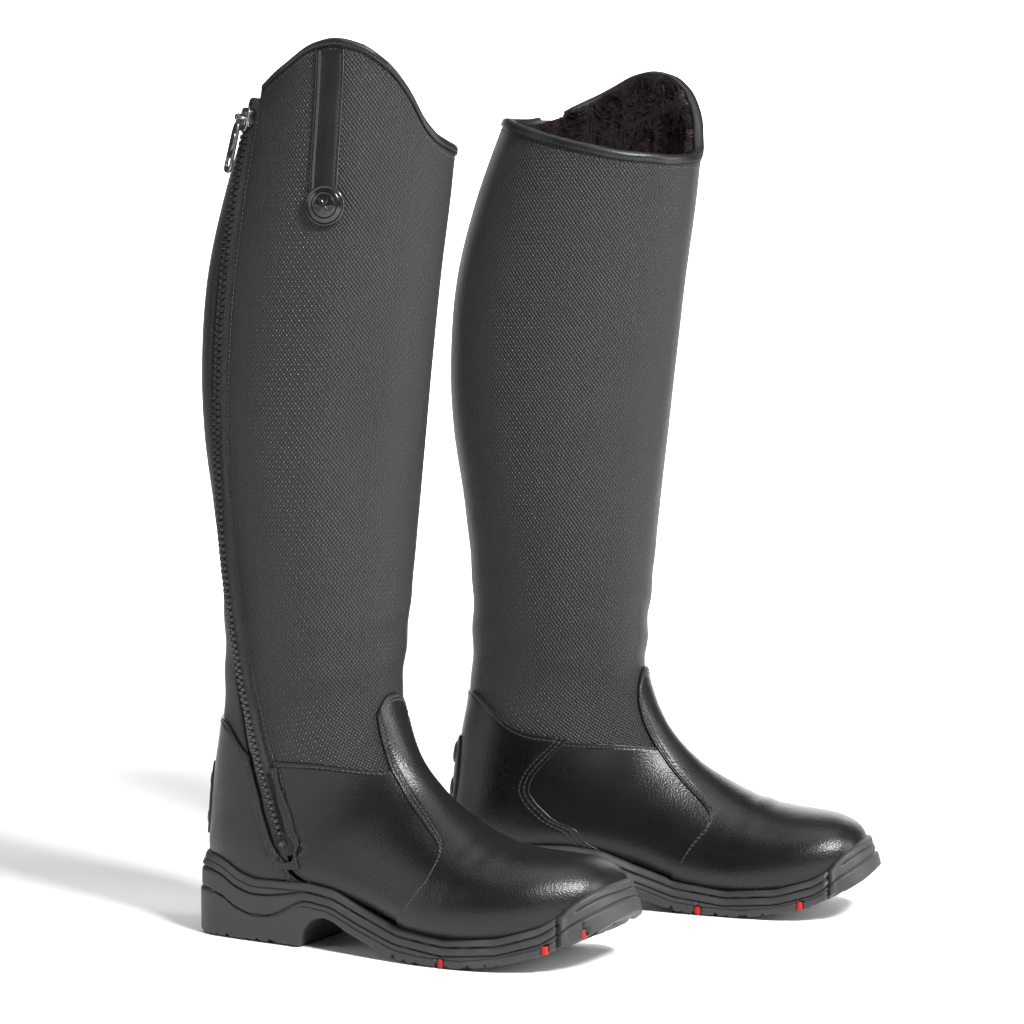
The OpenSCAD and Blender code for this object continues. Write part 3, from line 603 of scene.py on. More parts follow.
def plastic(name, color, rough, spec=.5):
    m = Mat(name, color, rough, Specular_IOR_Level=spec)
    n = m.bump(m.noise(1600, 2), .15, .0001)
    v = m.noise(400, 3)
    col = m.ramp(v, (.3, [c * .8 for c in color]), (.75, [c * 1.3 for c in color]))
    return m.set(Base_Color=col, Roughness=m.remap(v, .3, .7, rough - .05, rough + .08), Normal=n)


MATS = {
    "embossed_shaft": embossed(),
    "foot_leather": leather("foot_leather", (.0032, .0032, .0035), .31, 900, .0003),
    "gusset": leather("gusset", (.009, .009, .0095), .5, 700, .00016),
    "binding": leather("binding", (.004, .004, .0043), .4, 1000),
    "patent_strap": leather("patent_strap", (.005, .005, .0052), .3, 1500, .00005, gloss=.5, wear=.03),
    "spur_rubber": rubber("spur_rubber", (.012, .012, .012), .45),
    "spur_pad_rubber": rubber("spur_pad_rubber", (.045, .045, .046), .6),
    "outsole_rubber": rubber("outsole_rubber", (.034, .034, .035), .5),
    "grip_rubber": rubber("grip_rubber", (.32, .012, .01), .55),
    "zip_tape": woven("zip_tape", (.012, .012, .0125)),
    "zip_teeth": plastic("zip_teeth", (.014, .014, .0145), .3),
    "zip_metal": metal("zip_metal", (.13, .13, .135), .26),
    "pull_metal": metal("pull_metal", (.09, .09, .093), .28),
    "fleece": fleece(),
    "badge": plastic("badge", (.006, .006, .0065), .16, .6),
    "thread": thread(),
    "shank_steel": metal("shank_steel", (.5, .5, .51), .35),
    "midsole_foam": rubber("midsole_foam", (.06, .06, .06), .8),
    "insole_board": woven("insole_board", (.3, .24, .16), 1.2),
    "stiffener": plastic("stiffener", (.5, .46, .38), .6),
}
for entry in frame["record"]["subparts"]:
    node = frame["nodes"][entry["node"]]
    node.data.materials.clear()
    node.data.materials.append(MATS[entry["material_slot"]])

# ---------------------------------------------------------------- patches of the upper
TONGUE = [[9.53, 23], [9.17, 17.5], [8.92, 10], [8.84, 0], [8.97, -9], [9.4, -17], [10.03, -23.6]]
VAMP_L = [[9.53, 23], [10.45, 25], [11.7, 27], [12.69, 28.6], [14.54, 37], [15.46, 46.5],
          [15.81, 70], [15.81, 90], [15.86, 112], [15.95, 149], [17.5, 150], [19, 150], [20.85, 150]]
VAMP_R = [[10.03, -23.6], [10.83, -26], [12.07, -26.8], [13.13, -30], [14.6, -40.5], [15.42, -50],
          [15.73, -64], [15.71, -83], [15.76, -105], [15.95, -149], [17.5, -150], [19, -150],
          [20.85, -150]]
TOE = [[20.85, 150], [20.88, 75], [20.9, 0], [20.88, -75], [20.85, -150]]
BACK_T = [[9.97, 106.4], [9.17, 131], [9.0, 160], [8.96, 190], [8.99, 215], [9.42, 238],
          [10.07, 260], [10.68, 285]]
BACK_R = [[10.68, 285], [11.07, 274.8], [11.4, 268.8], [11.77, 266.3], [12.17, 267],
          [12.77, 267.2], [13.55, 263.2], [14.05, 247.5], [14.6, 236]]
BACK_B = [[13.9, 124], [13.3, 142], [13, 160], [12.9, 180], [13, 200], [13.5, 222], [14.6, 236]]
QL_T = [[10.24, 91.9], [10.73, 65], [11.61, 35], [11.76, 24]]
QL_R = [[11.76, 24], [12.69, 26], [14.6, 33.5], [15.55, 43], [15.88, 60], [15.92, 90],
        [15.95, 112], [16.0, 149]]
QL_B = [[13.95, 122], [14.5, 128], [15.2, 136], [16.0, 149]]
QM_T = [[10.68, -79], [11.36, -52], [12.36, -24]]
QM_L = [[10.68, -79], [11.07, -89.5], [11.4, -95.5], [11.77, -98], [12.17, -97.5], [12.77, -97],
        [13.55, -101], [14.05, -116], [14.7, -128]]
QM_R = [[12.36, -24], [13.13, -27], [14.7, -36], [15.5, -46], [15.85, -60], [15.85, -83],
        [15.9, -105], [16, -149]]
QM_B = [[14.7, -128], [15.3, -137], [16, -149]]
BACK_L = [[s, float(beside_zip(s, 8))] for s in (9.97, 10.6, 11.3, 12, 12.6, 13)] + [
    [13.25, 104], [13.6, 115.5], [13.9, 124]]
QL_L = [[s, float(beside_zip(s, -8))] for s in (10.24, 10.8, 11.4, 12, 12.6, 13)] + [
    [13.2, 99], [13.6, 112], [13.95, 122]]
vamp_f = coons(TONGUE, TOE, VAMP_L, VAMP_R)
back_f = coons(BACK_T, BACK_B, BACK_L, BACK_R)
ql_f = coons(QL_T, QL_B, QL_L, QL_R)
qm_f = coons(QM_T, QM_B, QM_L, QM_R)

# columns of the shaft stand closer together where its lower edge is steep
hem_columns = np.linspace(91, -170, 3000)
hem_lengths = np.cumsum(np.hypot(np.diff(hem_columns) * 1.1, np.diff(hem(hem_columns)) * 16))
hem_lengths = np.concatenate([[0], hem_lengths])
hem_lengths /= hem_lengths[-1]


def shaft_f(u, v):
    """Shaft panel: u runs from the zip round the front to the seam of the gusset."""
    h = np.interp(u, hem_lengths, hem_columns)
    k = (91 - h) / 261
    a0 = 128 - 323 * k
    s0 = rim(130) + (10.18 - rim(130)) * v
    s1 = rim(165) + (8.88 - rim(165)) * v
    left = beside_zip(s0, -8)
    left = left + (92.6 - left) * np.clip((v - .96) / .04, 0, 1)
    a = left + (gusset_rear(s1) - 359.3 - left) * k
    t = rim(a0)
    return np.stack([t + (hem(h) - t) * v, a], -1)


def gusset_f(u, v):
    """Gusset: u runs from the zip to the rear seam, v from the binding to the heel counter."""
    s0 = rim(146) + (9.92 - rim(146)) * v
    left = beside_zip(s0, 8)
    low = np.interp(u, [0, .15, .3, .65, 1], [9.92, 9.45, 9.16, 8.96, 8.92])
    t = rim(146 + 18 * u)
    s = t + (low - t) * v
    return np.stack([s, left + (gusset_rear(s) - left) * u], -1)


def strap_f(u, v):
    """Upright strap, 17 mm wide, from the binding down to the badge."""
    c = 79 - 8 * v
    t = rim(c) + .12
    s = t + (2.3 - t) * v
    return np.stack([s, across(s, c, 17 * (.5 - u))], -1)


# ---------------------------------------------------------------- the zip's arc
TOP, END, BOW = np.array([57.2, 39.9, 489]), np.array([75.1, 32.6, 52]), 29.6
CHORD = END - TOP
ZY = unit(CHORD)
ZB = np.array([-27.5, 10.9, 0])
ZX = unit(ZB - ZY * (ZB @ ZY))
ZZ = np.cross(ZX, ZY)
ARC_R = (CHORD @ CHORD / 4 + BOW * BOW) / (2 * BOW)
HALF = math.asin(np.linalg.norm(CHORD) / 2 / ARC_R)
ARC_C = (TOP + END) / 2 - ZX * (ARC_R - BOW)
TILT = math.radians(43.3)


def chain(phi, x=0.0, y=0.0, z=0.0):
    """Point of the chain at arc angle phi, moved x outwards, y down and z to the rear."""
    phi = np.asarray(phi, float)[..., None]
    ex, ey = ZX * np.cos(phi) + ZY * np.sin(phi), -ZX * np.sin(phi) + ZY * np.cos(phi)
    n, w = ex * math.cos(TILT) - ZZ * math.sin(TILT), ex * math.sin(TILT) + ZZ * math.cos(TILT)
    x, y, z = (np.asarray(q, float)[..., None] for q in (x, y, z))
    return ARC_C + ex * ARC_R + n * (CHAIN_LIFT + x) + ey * y + w * z


def chain_frames(phi):
    """Origin and three axes of the chain at each arc angle."""
    o = chain(phi)
    return np.stack([o, chain(phi, x=1) - o, chain(phi, y=1) - o, chain(phi, z=1) - o], 1)


# ---------------------------------------------------------------- the upper
def sew(mesh, f, h, edges, rows=(2.3,), cut=(0, 1), **kw):
    """Stitch lines beside the named edges of patch f."""
    for edge in edges:
        for d in rows:
            stitches(mesh, inset(f, edge, d, cut=cut), h, **kw)


def upper():
    for name, f, h, slot, step_mm, sewn, double in (
            ("shaft_panel", shaft_f, 0, "embossed_shaft", 2.6, "l", ""),
            ("rear_gusset", gusset_f, 0, "gusset", 2.6, "l", ""),
            ("quarter_lateral", ql_f, QUARTER_H, "foot_leather", 2, "tl", ""),
            ("quarter_medial", qm_f, QUARTER_H, "foot_leather", 2, "t", ""),
            ("heel_counter", back_f, BACK_H, "foot_leather", 2, "tlr", "r"),
            ("vamp", vamp_f, VAMP_H, "foot_leather", 2.2, "tlr", "tlr")):
        emit(name, panel(f, -2, h, step_mm, sewn=sewn, double=double), slot)
    emit("trim_strap", panel(strap_f, .1, 1.2, 1.2, sewn="lr", seam=1.9, radius=.6, puff=.9),
         "patent_strap")
    emit("zip_facing", panel(facing_f, BACK_H - 1, BACK_H + .5, 1.6, sewn="tb", seam=1.3, radius=.6),
         "foot_leather")

    thread = Mesh()
    sunk = -.15
    twin = (2.3, 4.6)
    sew(thread, shaft_f, sunk, "l", cut=(.02, .98))
    sew(thread, gusset_f, sunk, "l", cut=(.02, .98))
    sew(thread, gusset_f, sunk + .05, "r", (2.0,), (.02, .97))
    sew(thread, ql_f, QUARTER_H + sunk, "tl")
    sew(thread, qm_f, QUARTER_H + sunk, "t")
    sew(thread, back_f, BACK_H + sunk, "tl")
    sew(thread, back_f, BACK_H + sunk, "r", twin)
    sew(thread, vamp_f, VAMP_H + sunk, "t", twin, (.08, .92))
    sew(thread, vamp_f, VAMP_H + sunk, "lr", twin, (0, .66))
    sew(thread, strap_f, 1.35, "lr", (1.9,), pitch=2.6, length=2.1, r=.25)
    sew(thread, facing_f, BACK_H + .4, "tb", (1.3,), pitch=2.7, length=2.2, r=.27)
    # short double seam from the end of the zip to the sole
    s = np.linspace(13.3, 13.75, 40)
    mid = np.interp(s, [13.29, 13.49, 13.68, 13.8], [107, 115.6, 127.4, 135])
    for d in (-1.6, 1.6):
        stitches(thread, np.stack([s, across(s, mid, d)], -1), BACK_H)
    # one seam under the binding and one through it
    a = round_the_top(147.5, 486, 900)
    stitches(thread, np.stack([rim(a) + (BIND + 2.2) / RING_MM, a], -1), -.12)
    stitches(thread, np.stack([rim(a) + (BIND - 1.4) / RING_MM, a], -1), 1.2, pitch=2.7, length=2.2,
             r=.27)
    emit("thread", thread, "thread", angle=60, extra=True)


def facing_loop(d, low):
    """Line d mm beside the zip, down one side, round its end through low and up the other."""
    rows = [10.42, 10.9, 11.4, 11.9, 12.4, 12.85]
    return ([[s, float(beside_zip(s, -d))] for s in rows] + low
            + [[s, float(beside_zip(s, d))] for s in rows[::-1]])


facing_inner = edge_curve(facing_loop(6.4, [[13.15, 96.4], [13.08, 99.7], [12.9, 100.8]]))
facing_outer = edge_curve(facing_loop(11.8, [[13.46, 101.4], [13.27, 106.3], [12.95, 107.1]]))


def facing_f(u, v):
    v = np.asarray(v)[..., None]
    return facing_inner(u) * (1 - v) + facing_outer(u) * v


def round_the_top(start, end, n):
    """Angles from one side of the zip round the leg to the other, none above 180."""
    a = np.linspace(start, end, n)
    return np.where(a > 180, a - 360, a)


def binding():
    """Leather edging folded over the top of the shaft, with a rounded crown."""
    start, end, count = 147, 486.6, 520
    a = np.linspace(start, end, count)
    b = round_the_top(start, end, count)
    t = rim(b)
    sec = [(BIND, -.2), (BIND, .7), (BIND - .25, 1.15), (BIND - .9, 1.3), (1.5, 1.5), (.2, 1.35), (-.9, .6),
           (-1.5, -.6), (-1.6, -2), (-1.5, -3.4), (-.9, -4.6), (.2, -5.3), (1.5, -5.5), (4, -5.3),
           (BIND, -5), (BIND, -4.2), (2, -4.1), (1, -2.5), (2, -.3)]
    rows = []
    for d, h in sec:
        crease = -.28 * bell(d, BIND - 1.4, .6) if h > .9 else 0
        wave = .12 * np.sin(a * .31 + d) * bell(d, 0, 3)
        rows.append(at(t + d / RING_MM, b, h + crease + wave))
    p = np.stack(rows, 1)
    n = len(sec)
    m = Mesh()
    faces = [list(q) for q in quads(len(a), n, wrap=True)]
    faces += [list(range(n))[::-1], [(len(a) - 1) * n + i for i in range(n)]]
    uv = np.stack(np.broadcast_arrays(a[:, None] * 1.05, np.arange(n)[None] * 1.5), -1)
    m.add(p, closed(p.reshape(-1, 3), faces), uv)
    emit("top_binding", m, "binding")


def badge():
    """Round domed badge with a rim, a groove and six plain petals."""
    r0 = 11.6
    prof = [(0, -1.2), (r0 - .6, -1.2), (r0, -.6), (r0 + .25, .4), (r0, 1.15), (r0 - .5, 1.5),
            (r0 - 1.0, 1.45), (r0 - 1.5, 1.1), (r0 - 1.9, 1.15), (r0 - 2.3, 1.5)]
    prof += [(r, 1.5 + 1.7 * (1 - (r / 9.5) ** 2)) for r in np.linspace(9.1, .5, 30)] + [(0, 3.2)]

    def wob(r, t):
        petals = .3 * step(np.cos(6 * t) - .55 * (r - 3.2), -.2, .5) * (r < 5.6)
        ring = -.35 * bell(r, 6.6, .3) + .2 * bell(r, 7.9, .5)
        return (ring + petals) * (r < 9)
    pts, faces = lathe(prof, 144, wob)
    o = at(2.24, 69.6, 1.5)
    n = normal(2.24, 69.6)
    y = unit(np.array([0, 0, 1.0]) - n * n[2])
    m = Mesh()
    m.many(pts, faces, np.stack([o, np.cross(y, n), y, n])[None])
    emit("badge", m, "badge", angle=50)


def spur_rest():
    def f(u, v):
        w = 20 + 5 * np.sin(np.pi * v)
        return np.stack([9.95 + 1.5 * v, 180 - w + 2 * w * u], -1)
    emit("spur_rest", panel(f, BACK_H - .3, BACK_H + 1.2, 1.5, radius=1.0, puff=.5), "spur_rubber")
    m = Mesh()
    for s0 in (10.33, 11.1):
        rr = np.array([0, .18, .36, .52, .66, .78, .87, .94, .985, 1.0, 1.0])
        hh = 2.1 * np.sqrt(np.clip(1 - rr ** 3.2, 0, 1))
        hh[-1] = -1.6
        t = np.linspace(0, 2 * np.pi, 73)[:-1]
        dx = 12.5 * np.sign(np.cos(t)) * np.abs(np.cos(t)) ** .8
        dz = 7.2 * np.sign(np.sin(t)) * np.abs(np.sin(t)) ** .9
        s = s0 + rr[:, None] * dz[None] / 29
        a = across(s, np.full_like(s, 180), rr[:, None] * dx[None])
        ribs = (np.cos(rr[:, None] * dz[None] * 2.6) > .35) * (rr < .9)[:, None]
        p = at(s, a, BACK_H + 1.6 + hh[:, None] - .22 * ribs)
        faces = [list(q) for q in quads(len(rr), 72, wrap=True)]
        k = faces[72 * 5]
        q = p.reshape(-1, 3)
        if np.cross(q[k[1]] - q[k[0]], q[k[2]] - q[k[1]]) @ normal(s0, 180) < 0:
            faces = [x[::-1] for x in faces]
        m.add(p, faces)
    emit("spur_pads", m, "spur_pad_rubber", angle=50)


# ---------------------------------------------------------------- the zip
def ring_of_height(z):
    """Ring on which the zip's centre line has height z."""
    s = np.linspace(.3, 13.4, 1200)
    zz = surf(s, zip_angle(s))[:, 2]
    return np.interp(-np.asarray(z), -zz, s)


def tapes():
    phi = np.concatenate([np.linspace(-HALF - .009, -HALF, 6)[:-1], np.linspace(-HALF, HALF, 420)])
    t = np.array([0, .04, .1, .2, .3, .4, .5, .6, .7, .8, .9, 1.0])
    uv = np.stack(np.broadcast_arrays(t[None] * 10, phi[:, None] * ARC_R), -1)
    for name, sign in (("front", -1), ("rear", 1)):
        near = chain(phi, -.5, 0, sign * .3)
        s = ring_of_height(near[:, 2])
        far = at(s, beside_zip(s, sign * 10.4), -2.25)
        mid = at(s, beside_zip(s, sign * 6.2), -1.5)
        k = t[None, :, None]
        p = near[:, None] * (1 - k) ** 2 + mid[:, None] * 2 * k * (1 - k) + far[:, None] * k * k
        up = chain(phi, .5, 0, sign * .3) - near
        emit(f"zip_tape_{name}", slab(p, p - up[:, None] * .55, uv), "zip_tape")


def teeth():
    pitch = 3.8 / ARC_R
    for name, sign in (("front", -1), ("rear", 1)):
        phi = np.arange(-HALF + .0034 + (pitch / 2 if sign > 0 else 0), HALF - .014, pitch)
        m = Mesh()
        for shape in (((0, 0, sign * .15), (1.05, .82, .95), .3), ((0, 0, sign * 1.3), (1.15, .95, .6), .25),
                      ((0, 0, sign * 2.35), (1.2, 1.35, .85), .4)):
            m.many(*chamfer_box(*shape), chain_frames(phi))
        if sign > 0:
            stop = chamfer_box((.2, 0, 0), (1.5, 1.9, 3.3), .5)
            m.many(*stop, chain_frames(np.array([HALF - .0095])))
        top_stop = chamfer_box((.1, 0, sign * 1.9), (1.4, 1.5, 1.3), .45)
        m.many(*top_stop, chain_frames(np.array([-HALF + .0006])))
        emit(f"zip_teeth_{name}", m, "zip_teeth", angle=25)


def rounded(loop, n=96, passes=2):
    """Closed loop of n evenly spaced points through the corners of loop, softened."""
    p = np.array(loop, float)
    for _ in range(passes):
        q = np.roll(p, -1, axis=0)
        p = np.stack([p * .75 + q * .25, p * .25 + q * .75], 1).reshape(-1, 2)
    d = np.linalg.norm(np.roll(p, -1, axis=0) - p, axis=1)
    c = np.concatenate([[0], np.cumsum(d)])
    x = np.linspace(0, c[-1], n, endpoint=False)
    w = np.vstack([p, p[:1]])
    return np.stack([np.interp(x, c, w[:, i]) for i in (0, 1)], -1)


def plate(loop, lo, hi, bevel, hole=None):
    """Plate in the Y-Z plane from x lo to hi with rounded edges; hole has as many points."""
    n = len(loop)

    def ring(q, d, x):
        t = unit(np.roll(q, -1, axis=0) - np.roll(q, 1, axis=0))
        o = np.stack([t[:, 1], -t[:, 0]], -1)
        area = np.sum(q[:, 0] * np.roll(q[:, 1], -1) - q[:, 1] * np.roll(q[:, 0], -1))
        w = q - o * d * (1 if area > 0 else -1)
        return np.column_stack([np.full(len(q), x), w])
    b = bevel
    steps = [(b, lo), (b * .3, lo + b * .3), (0, lo + b), (0, hi - b), (b * .3, hi - b * .3), (b, hi)]
    rows = [ring(loop, d, x) for d, x in steps]
    faces = [list(q) for q in quads(6, n, wrap=True)]
    if hole is None:
        rows += [np.array([[lo, *loop.mean(0)], [hi, *loop.mean(0)]])]
        c0, c1 = 6 * n, 6 * n + 1
        faces += [[c0, i, (i + 1) % n] for i in range(n)]
        faces += [[c1, 5 * n + (i + 1) % n, 5 * n + i] for i in range(n)]
    else:
        rows += [ring(hole, -d, x) for d, x in steps]
        h = 6 * n
        faces += [[h + v for v in q[::-1]] for q in quads(6, n, wrap=True).tolist()]
        for i in range(n):
            j = (i + 1) % n
            faces.append([i, j, h + j, h + i])
            faces.append([5 * n + j, 5 * n + i, h + 5 * n + i, h + 5 * n + j])
    return np.vstack(rows), faces


def bar(path, r, n=12):
    """Round wire along a path of points, open ended."""
    p = np.array(path, float)
    t = unit(np.gradient(p, axis=0))
    ref = np.array([0, 1.0, 0]) if abs(t[0][1]) < .9 else np.array([0, 0, 1.0])
    u = unit(np.cross(t, ref))
    w = np.cross(t, u)
    a = np.linspace(0, 2 * np.pi, n + 1)[:-1]
    r = np.broadcast_to(r, len(p))
    round_it = u[:, None] * np.cos(a)[None, :, None] + w[:, None] * np.sin(a)[None, :, None]
    pts = p[:, None] + round_it * r[:, None, None]
    faces = [list(q) for q in quads(len(p), n, wrap=True)]
    faces += [list(range(n)), [(len(p) - 1) * n + i for i in range(n)][::-1]]
    return pts.reshape(-1, 3), faces


def slider_and_pull():
    frames = chain_frames(np.array([-HALF + math.radians(.4)]))

    def put(mesh, shape, faces):
        mesh.many(shape, closed(shape, faces), frames)
    m = Mesh()
    top = rounded([[-7, -2.6], [-7, 2.6], [-5.6, 4.3], [-3, 4.7], [2, 4.5], [5, 3.5], [7.2, 3.2],
                   [7.2, -3.2], [5, -3.5], [2, -4.5], [-3, -4.7], [-5.6, -4.3]], 80, 2)
    put(m, *plate(top, 1.35, 2.75, .4))
    put(m, *plate(top * np.array([.72, .9]), -2.6, -1.7, .3))
    for z in (-4.15, 4.15):
        put(m, *chamfer_box((0, -1, z), (1.9, 4.6, .5), .3))
    # arch over the top plate that the pull hangs from
    t = np.linspace(0, np.pi, 25)
    arch = np.stack([2.3 + 4.2 * np.sin(t) ** .8, np.full(25, -.4), 2.4 * np.cos(t)], -1)
    put(m, *bar(arch, .85))
    put(m, *chamfer_box((2.6, -.4, 0), (.5, 3.6, 2.2), .3))
    emit("zip_slider", m, "zip_metal", body="slider_body", angle=40)

    pull = Mesh()
    px, py = 6.3, -.4
    half = [[3.6, 0], [3.4, 2.2], [5.4, 2.7], [8, 3.3], [22, 3.5], [29, 3.9], [31.6, 3.2], [33, 1.6]]
    outline = rounded(half + [[a, -b] for a, b in half[::-1]], 96, 2)
    window = rounded([[23.4, 1.7], [29.6, 1.9], [29.6, -1.9], [23.4, -1.7]], 96, 3)

    def from_side(q):
        """The loop q begun at the same side of the window, so that the points pair up."""
        a = np.arctan2(q[:, 1], q[:, 0] - 26.5)
        return np.roll(q, -int(np.argmin(a)), axis=0) + [py, 0]
    put(pull, *plate(from_side(outline), px - .85, px + .85, .35, hole=from_side(window)))
    t = np.linspace(0, 2 * np.pi, 33)[:-1]
    eye = rounded(np.stack([2.3 * np.cos(t), 2.3 * np.sin(t)], -1), 64, 0)
    pts, faces = plate(eye, -1.3, 1.3, .3, hole=eye * .52)
    put(pull, np.stack([px + pts[:, 1], py + pts[:, 2], pts[:, 0]], -1), faces)
    put(pull, *chamfer_box((px, py + 3.4, 0), (.8, 1.8, 1.5), .25))
    grip = rounded([[9, 2.2], [20, 2.4], [20, -2.4], [9, -2.2]], 64, 3)
    put(pull, *plate(grip + [py, 0], px - 1.15, px + 1.15, .3))
    emit("zip_pull", pull, "pull_metal", body="pull_body", angle=40)


# ---------------------------------------------------------------- fleece and inside
def lumps(s, a, k):
    """Soft hills and dips of the plush."""
    return (.7 * np.sin(a * .21 + s * 9 + k) * np.sin(s * 6.1 - a * .13) + .5 * np.sin(a * .47 - s * 15)
            * np.sin(s * 17 + a * .31 + k))


def shell(s0, s1, rows, cols, out, inn, k):
    """Closed double-walled tube of plush between two rings."""
    a = np.linspace(-180, 180, cols + 1)[:-1]
    v = np.linspace(0, 1, rows)[:, None]
    t = s0(a)[None]
    s = t + (s1 - t) * v
    A = np.broadcast_to(a, s.shape)
    edge = np.clip(np.minimum(v, 1 - v) * rows / 4, 0, 1) ** .5
    outer = at(s, A, out + 0 * s)
    inner = at(s, A, out + (inn - out) * edge - lumps(s, A, k) * edge)
    n = rows * cols
    p = np.concatenate([outer.reshape(-1, 3), inner.reshape(-1, 3)])
    fs = np.vstack([quads(rows, cols, wrap=True), quads(rows, cols, wrap=True, flip=True, base=n)])
    j = np.arange(cols)
    jn = (j + 1) % cols
    e = (rows - 1) * cols
    fs = np.vstack([fs, np.stack([jn, j, j + n, jn + n], -1),
                    np.stack([e + j, e + jn, e + jn + n, e + j + n], -1)])
    return Mesh().add(p, closed(p, fs))


def tufts(mesh, count, where, seed, size=(3.2, 6.0)):
    """Curled tapering locks of plush; where gives their roots [ring, angle] and height."""
    g = np.random.default_rng(seed)
    s, a, h = where(g, count)
    root = at(s, a, h)
    n = -normal(s, a)
    down = unit(surf(s + .02, a) - surf(s - .02, a))
    side = np.cross(n, down)
    # neighbouring locks lie the same way, as plush does when it is brushed by hand
    th = 2.2 * np.sin(s * 5.1 + a * .09) + 1.9 * np.sin(a * .17 - s * 3.3) + g.normal(0, .45, count)
    lean = down * np.cos(th)[:, None] + side * np.sin(th)[:, None]
    ln = g.uniform(*size, count)[:, None]
    r = g.uniform(.2, .38, count)[:, None]
    p1 = root + n * ln * .55 + lean * ln * .3
    p2 = root + n * ln * .75 + lean * ln * .95 + down * ln * .25
    c, d = np.cross(n, lean), lean
    rings = []
    for centre, k in ((root, 1.0), (p1, .85)):
        for w in (0, 2.0944, 4.1888):
            rings.append(centre + (c * math.cos(w) + d * math.sin(w)) * r * k)
    pts = np.stack(rings + [p2], 1)
    base = np.array([[0, 1, 4], [0, 4, 3], [1, 2, 5], [1, 5, 4], [2, 0, 3], [2, 3, 5], [3, 4, 6],
                     [4, 5, 6], [5, 3, 6], [0, 2, 1]])
    f = (base[None] + np.arange(count)[:, None, None] * 7).reshape(-1, 3)
    mesh.add(pts, f)


def inside(seed):
    def top_band(g, n):
        a = g.uniform(-180, 180, n)
        s = rim(a) + .03 + 2.6 * g.uniform(0, 1, n) ** 1.7
        return s, a, np.where(s < rim(a) + .09, g.uniform(-6.6, -4.4, n), -6.6)

    def even(s0, s1, a0, a1, h):
        return lambda g, n: (g.uniform(s0, s1, n), g.uniform(a0, a1, n), np.full(n, h))
    shaft = shell(lambda a: rim(a) + .045, 9.0, 90, 150, -3.4, -7.0, 1.3)
    tufts(shaft, 19000, top_band, seed)
    emit("shaft_lining", shaft, "fleece", angle=70)
    foot = shell(lambda a: 0 * a + 9.04, 19.4, 70, 120, -3.4, -7.0, 2.1)
    tufts(foot, 3500, even(9.2, 19.0, -130, 130, -6.6), seed + 1)
    emit("foot_lining", foot, "fleece", angle=70)
    bed = panel(lambda u, v: np.stack([13.4 + 5.5 * v, 150 + 60 * u], -1), -12.6, -9.6, 3, radius=1.4,
                puff=.4)
    tufts(bed, 5000, even(13.5, 18.8, 152, 208, -9.2), seed + 2)
    emit("footbed", bed, "fleece", angle=70)

    def flap_f(u, v):
        s = 1.35 + 11.2 * v
        return np.stack([s, beside_zip(s, -15 + 30 * u)], -1)
    emit("zip_flap", panel(flap_f, -10.6, -9.5, 3, radius=.5), "zip_tape")


# ---------------------------------------------------------------- the sole
WALL = [[3.4, 0], [5, 14], [9.4, 24], [20.8, 30.7], [40, 33.7], [80, 37.2], [120, 42.2],
        [160, 47.7], [185, 49.4], [205, 48.7], [225, 45.7], [244.3, 40.2], [258.7, 32.2],
        [270.6, 21], [278.3, 6], [280.4, -10], [277.9, -24], [271.5, -36], [260.4, -44.5],
        [244.3, -47.5], [228, -47.8], [210, -46], [185, -43.1], [160, -39.7], [140, -38],
        [120, -38], [80, -36.7], [40, -33.7], [20.8, -30.7], [9.4, -24], [5, -14]]
tread_line = smooth_table([[1, 14], [3, 6], [9, 0], [87, 0], [90, 10], [97, 17], [105, 19],
                           [113, 17], [121, 13], [144, 5], [158, 1], [166, 0], [203, 0],
                           [225, 3.5], [245, 9], [262, 17], [275, 25], [285, 33]], 1.2)
lip_line = smooth_table([[1, 49], [19, 48.5], [29, 45.5], [38, 40], [50, 36.5], [89, 37.5],
                         [110, 35.5], [130, 28], [157, 19.5], [190, 16], [223, 19], [247, 26],
                         [258, 33], [267, 40.5], [276, 46], [285, 47]], 5)
floor_line = smooth_table([[-5, 22.3], [30, 23], [80, 24.3], [104, 22], [122, 18], [140, 12.5],
                           [160, 7.6], [180, 6], [196, 5.8], [229, 9.2], [254, 16], [268, 23], [280, 31]], 4)
PLUGS = [[189, 47.2], [249.5, 36.2], [266.5, 23], [174, -39.6], [239, -45.6]]


def closed_curve(pts, n):
    """n evenly spaced points on a smooth closed curve through pts."""
    p = np.array(pts, float)
    k = len(p)
    x = np.linspace(0, k, 4001)[:-1]
    i = x.astype(int)
    t = (x - i)[:, None]
    a, b, c, d = p[i - 1], p[i], p[(i + 1) % k], p[(i + 2) % k]
    q = .5 * (2 * b + (c - a) * t + (2 * a - 5 * b + 4 * c - d) * t * t
              + (3 * b - a - 3 * c + d) * t ** 3)
    w = np.vstack([q, q[:1]])
    s = np.concatenate([[0], np.cumsum(np.linalg.norm(np.diff(w, axis=0), axis=1))])
    u = np.linspace(0, s[-1], n, endpoint=False)
    return np.stack([np.interp(u, s, w[:, j]) for j in (0, 1)], -1)


def step(x, a, b):
    """Smooth rise from 0 at a to 1 at b."""
    t = np.clip((x - a) / (b - a), 0, 1)
    return t * t * (3 - 2 * t)


def middle_of_tread(x):
    return np.interp(x, [0, 120, 185, 285], [0, 2, 3, -8])


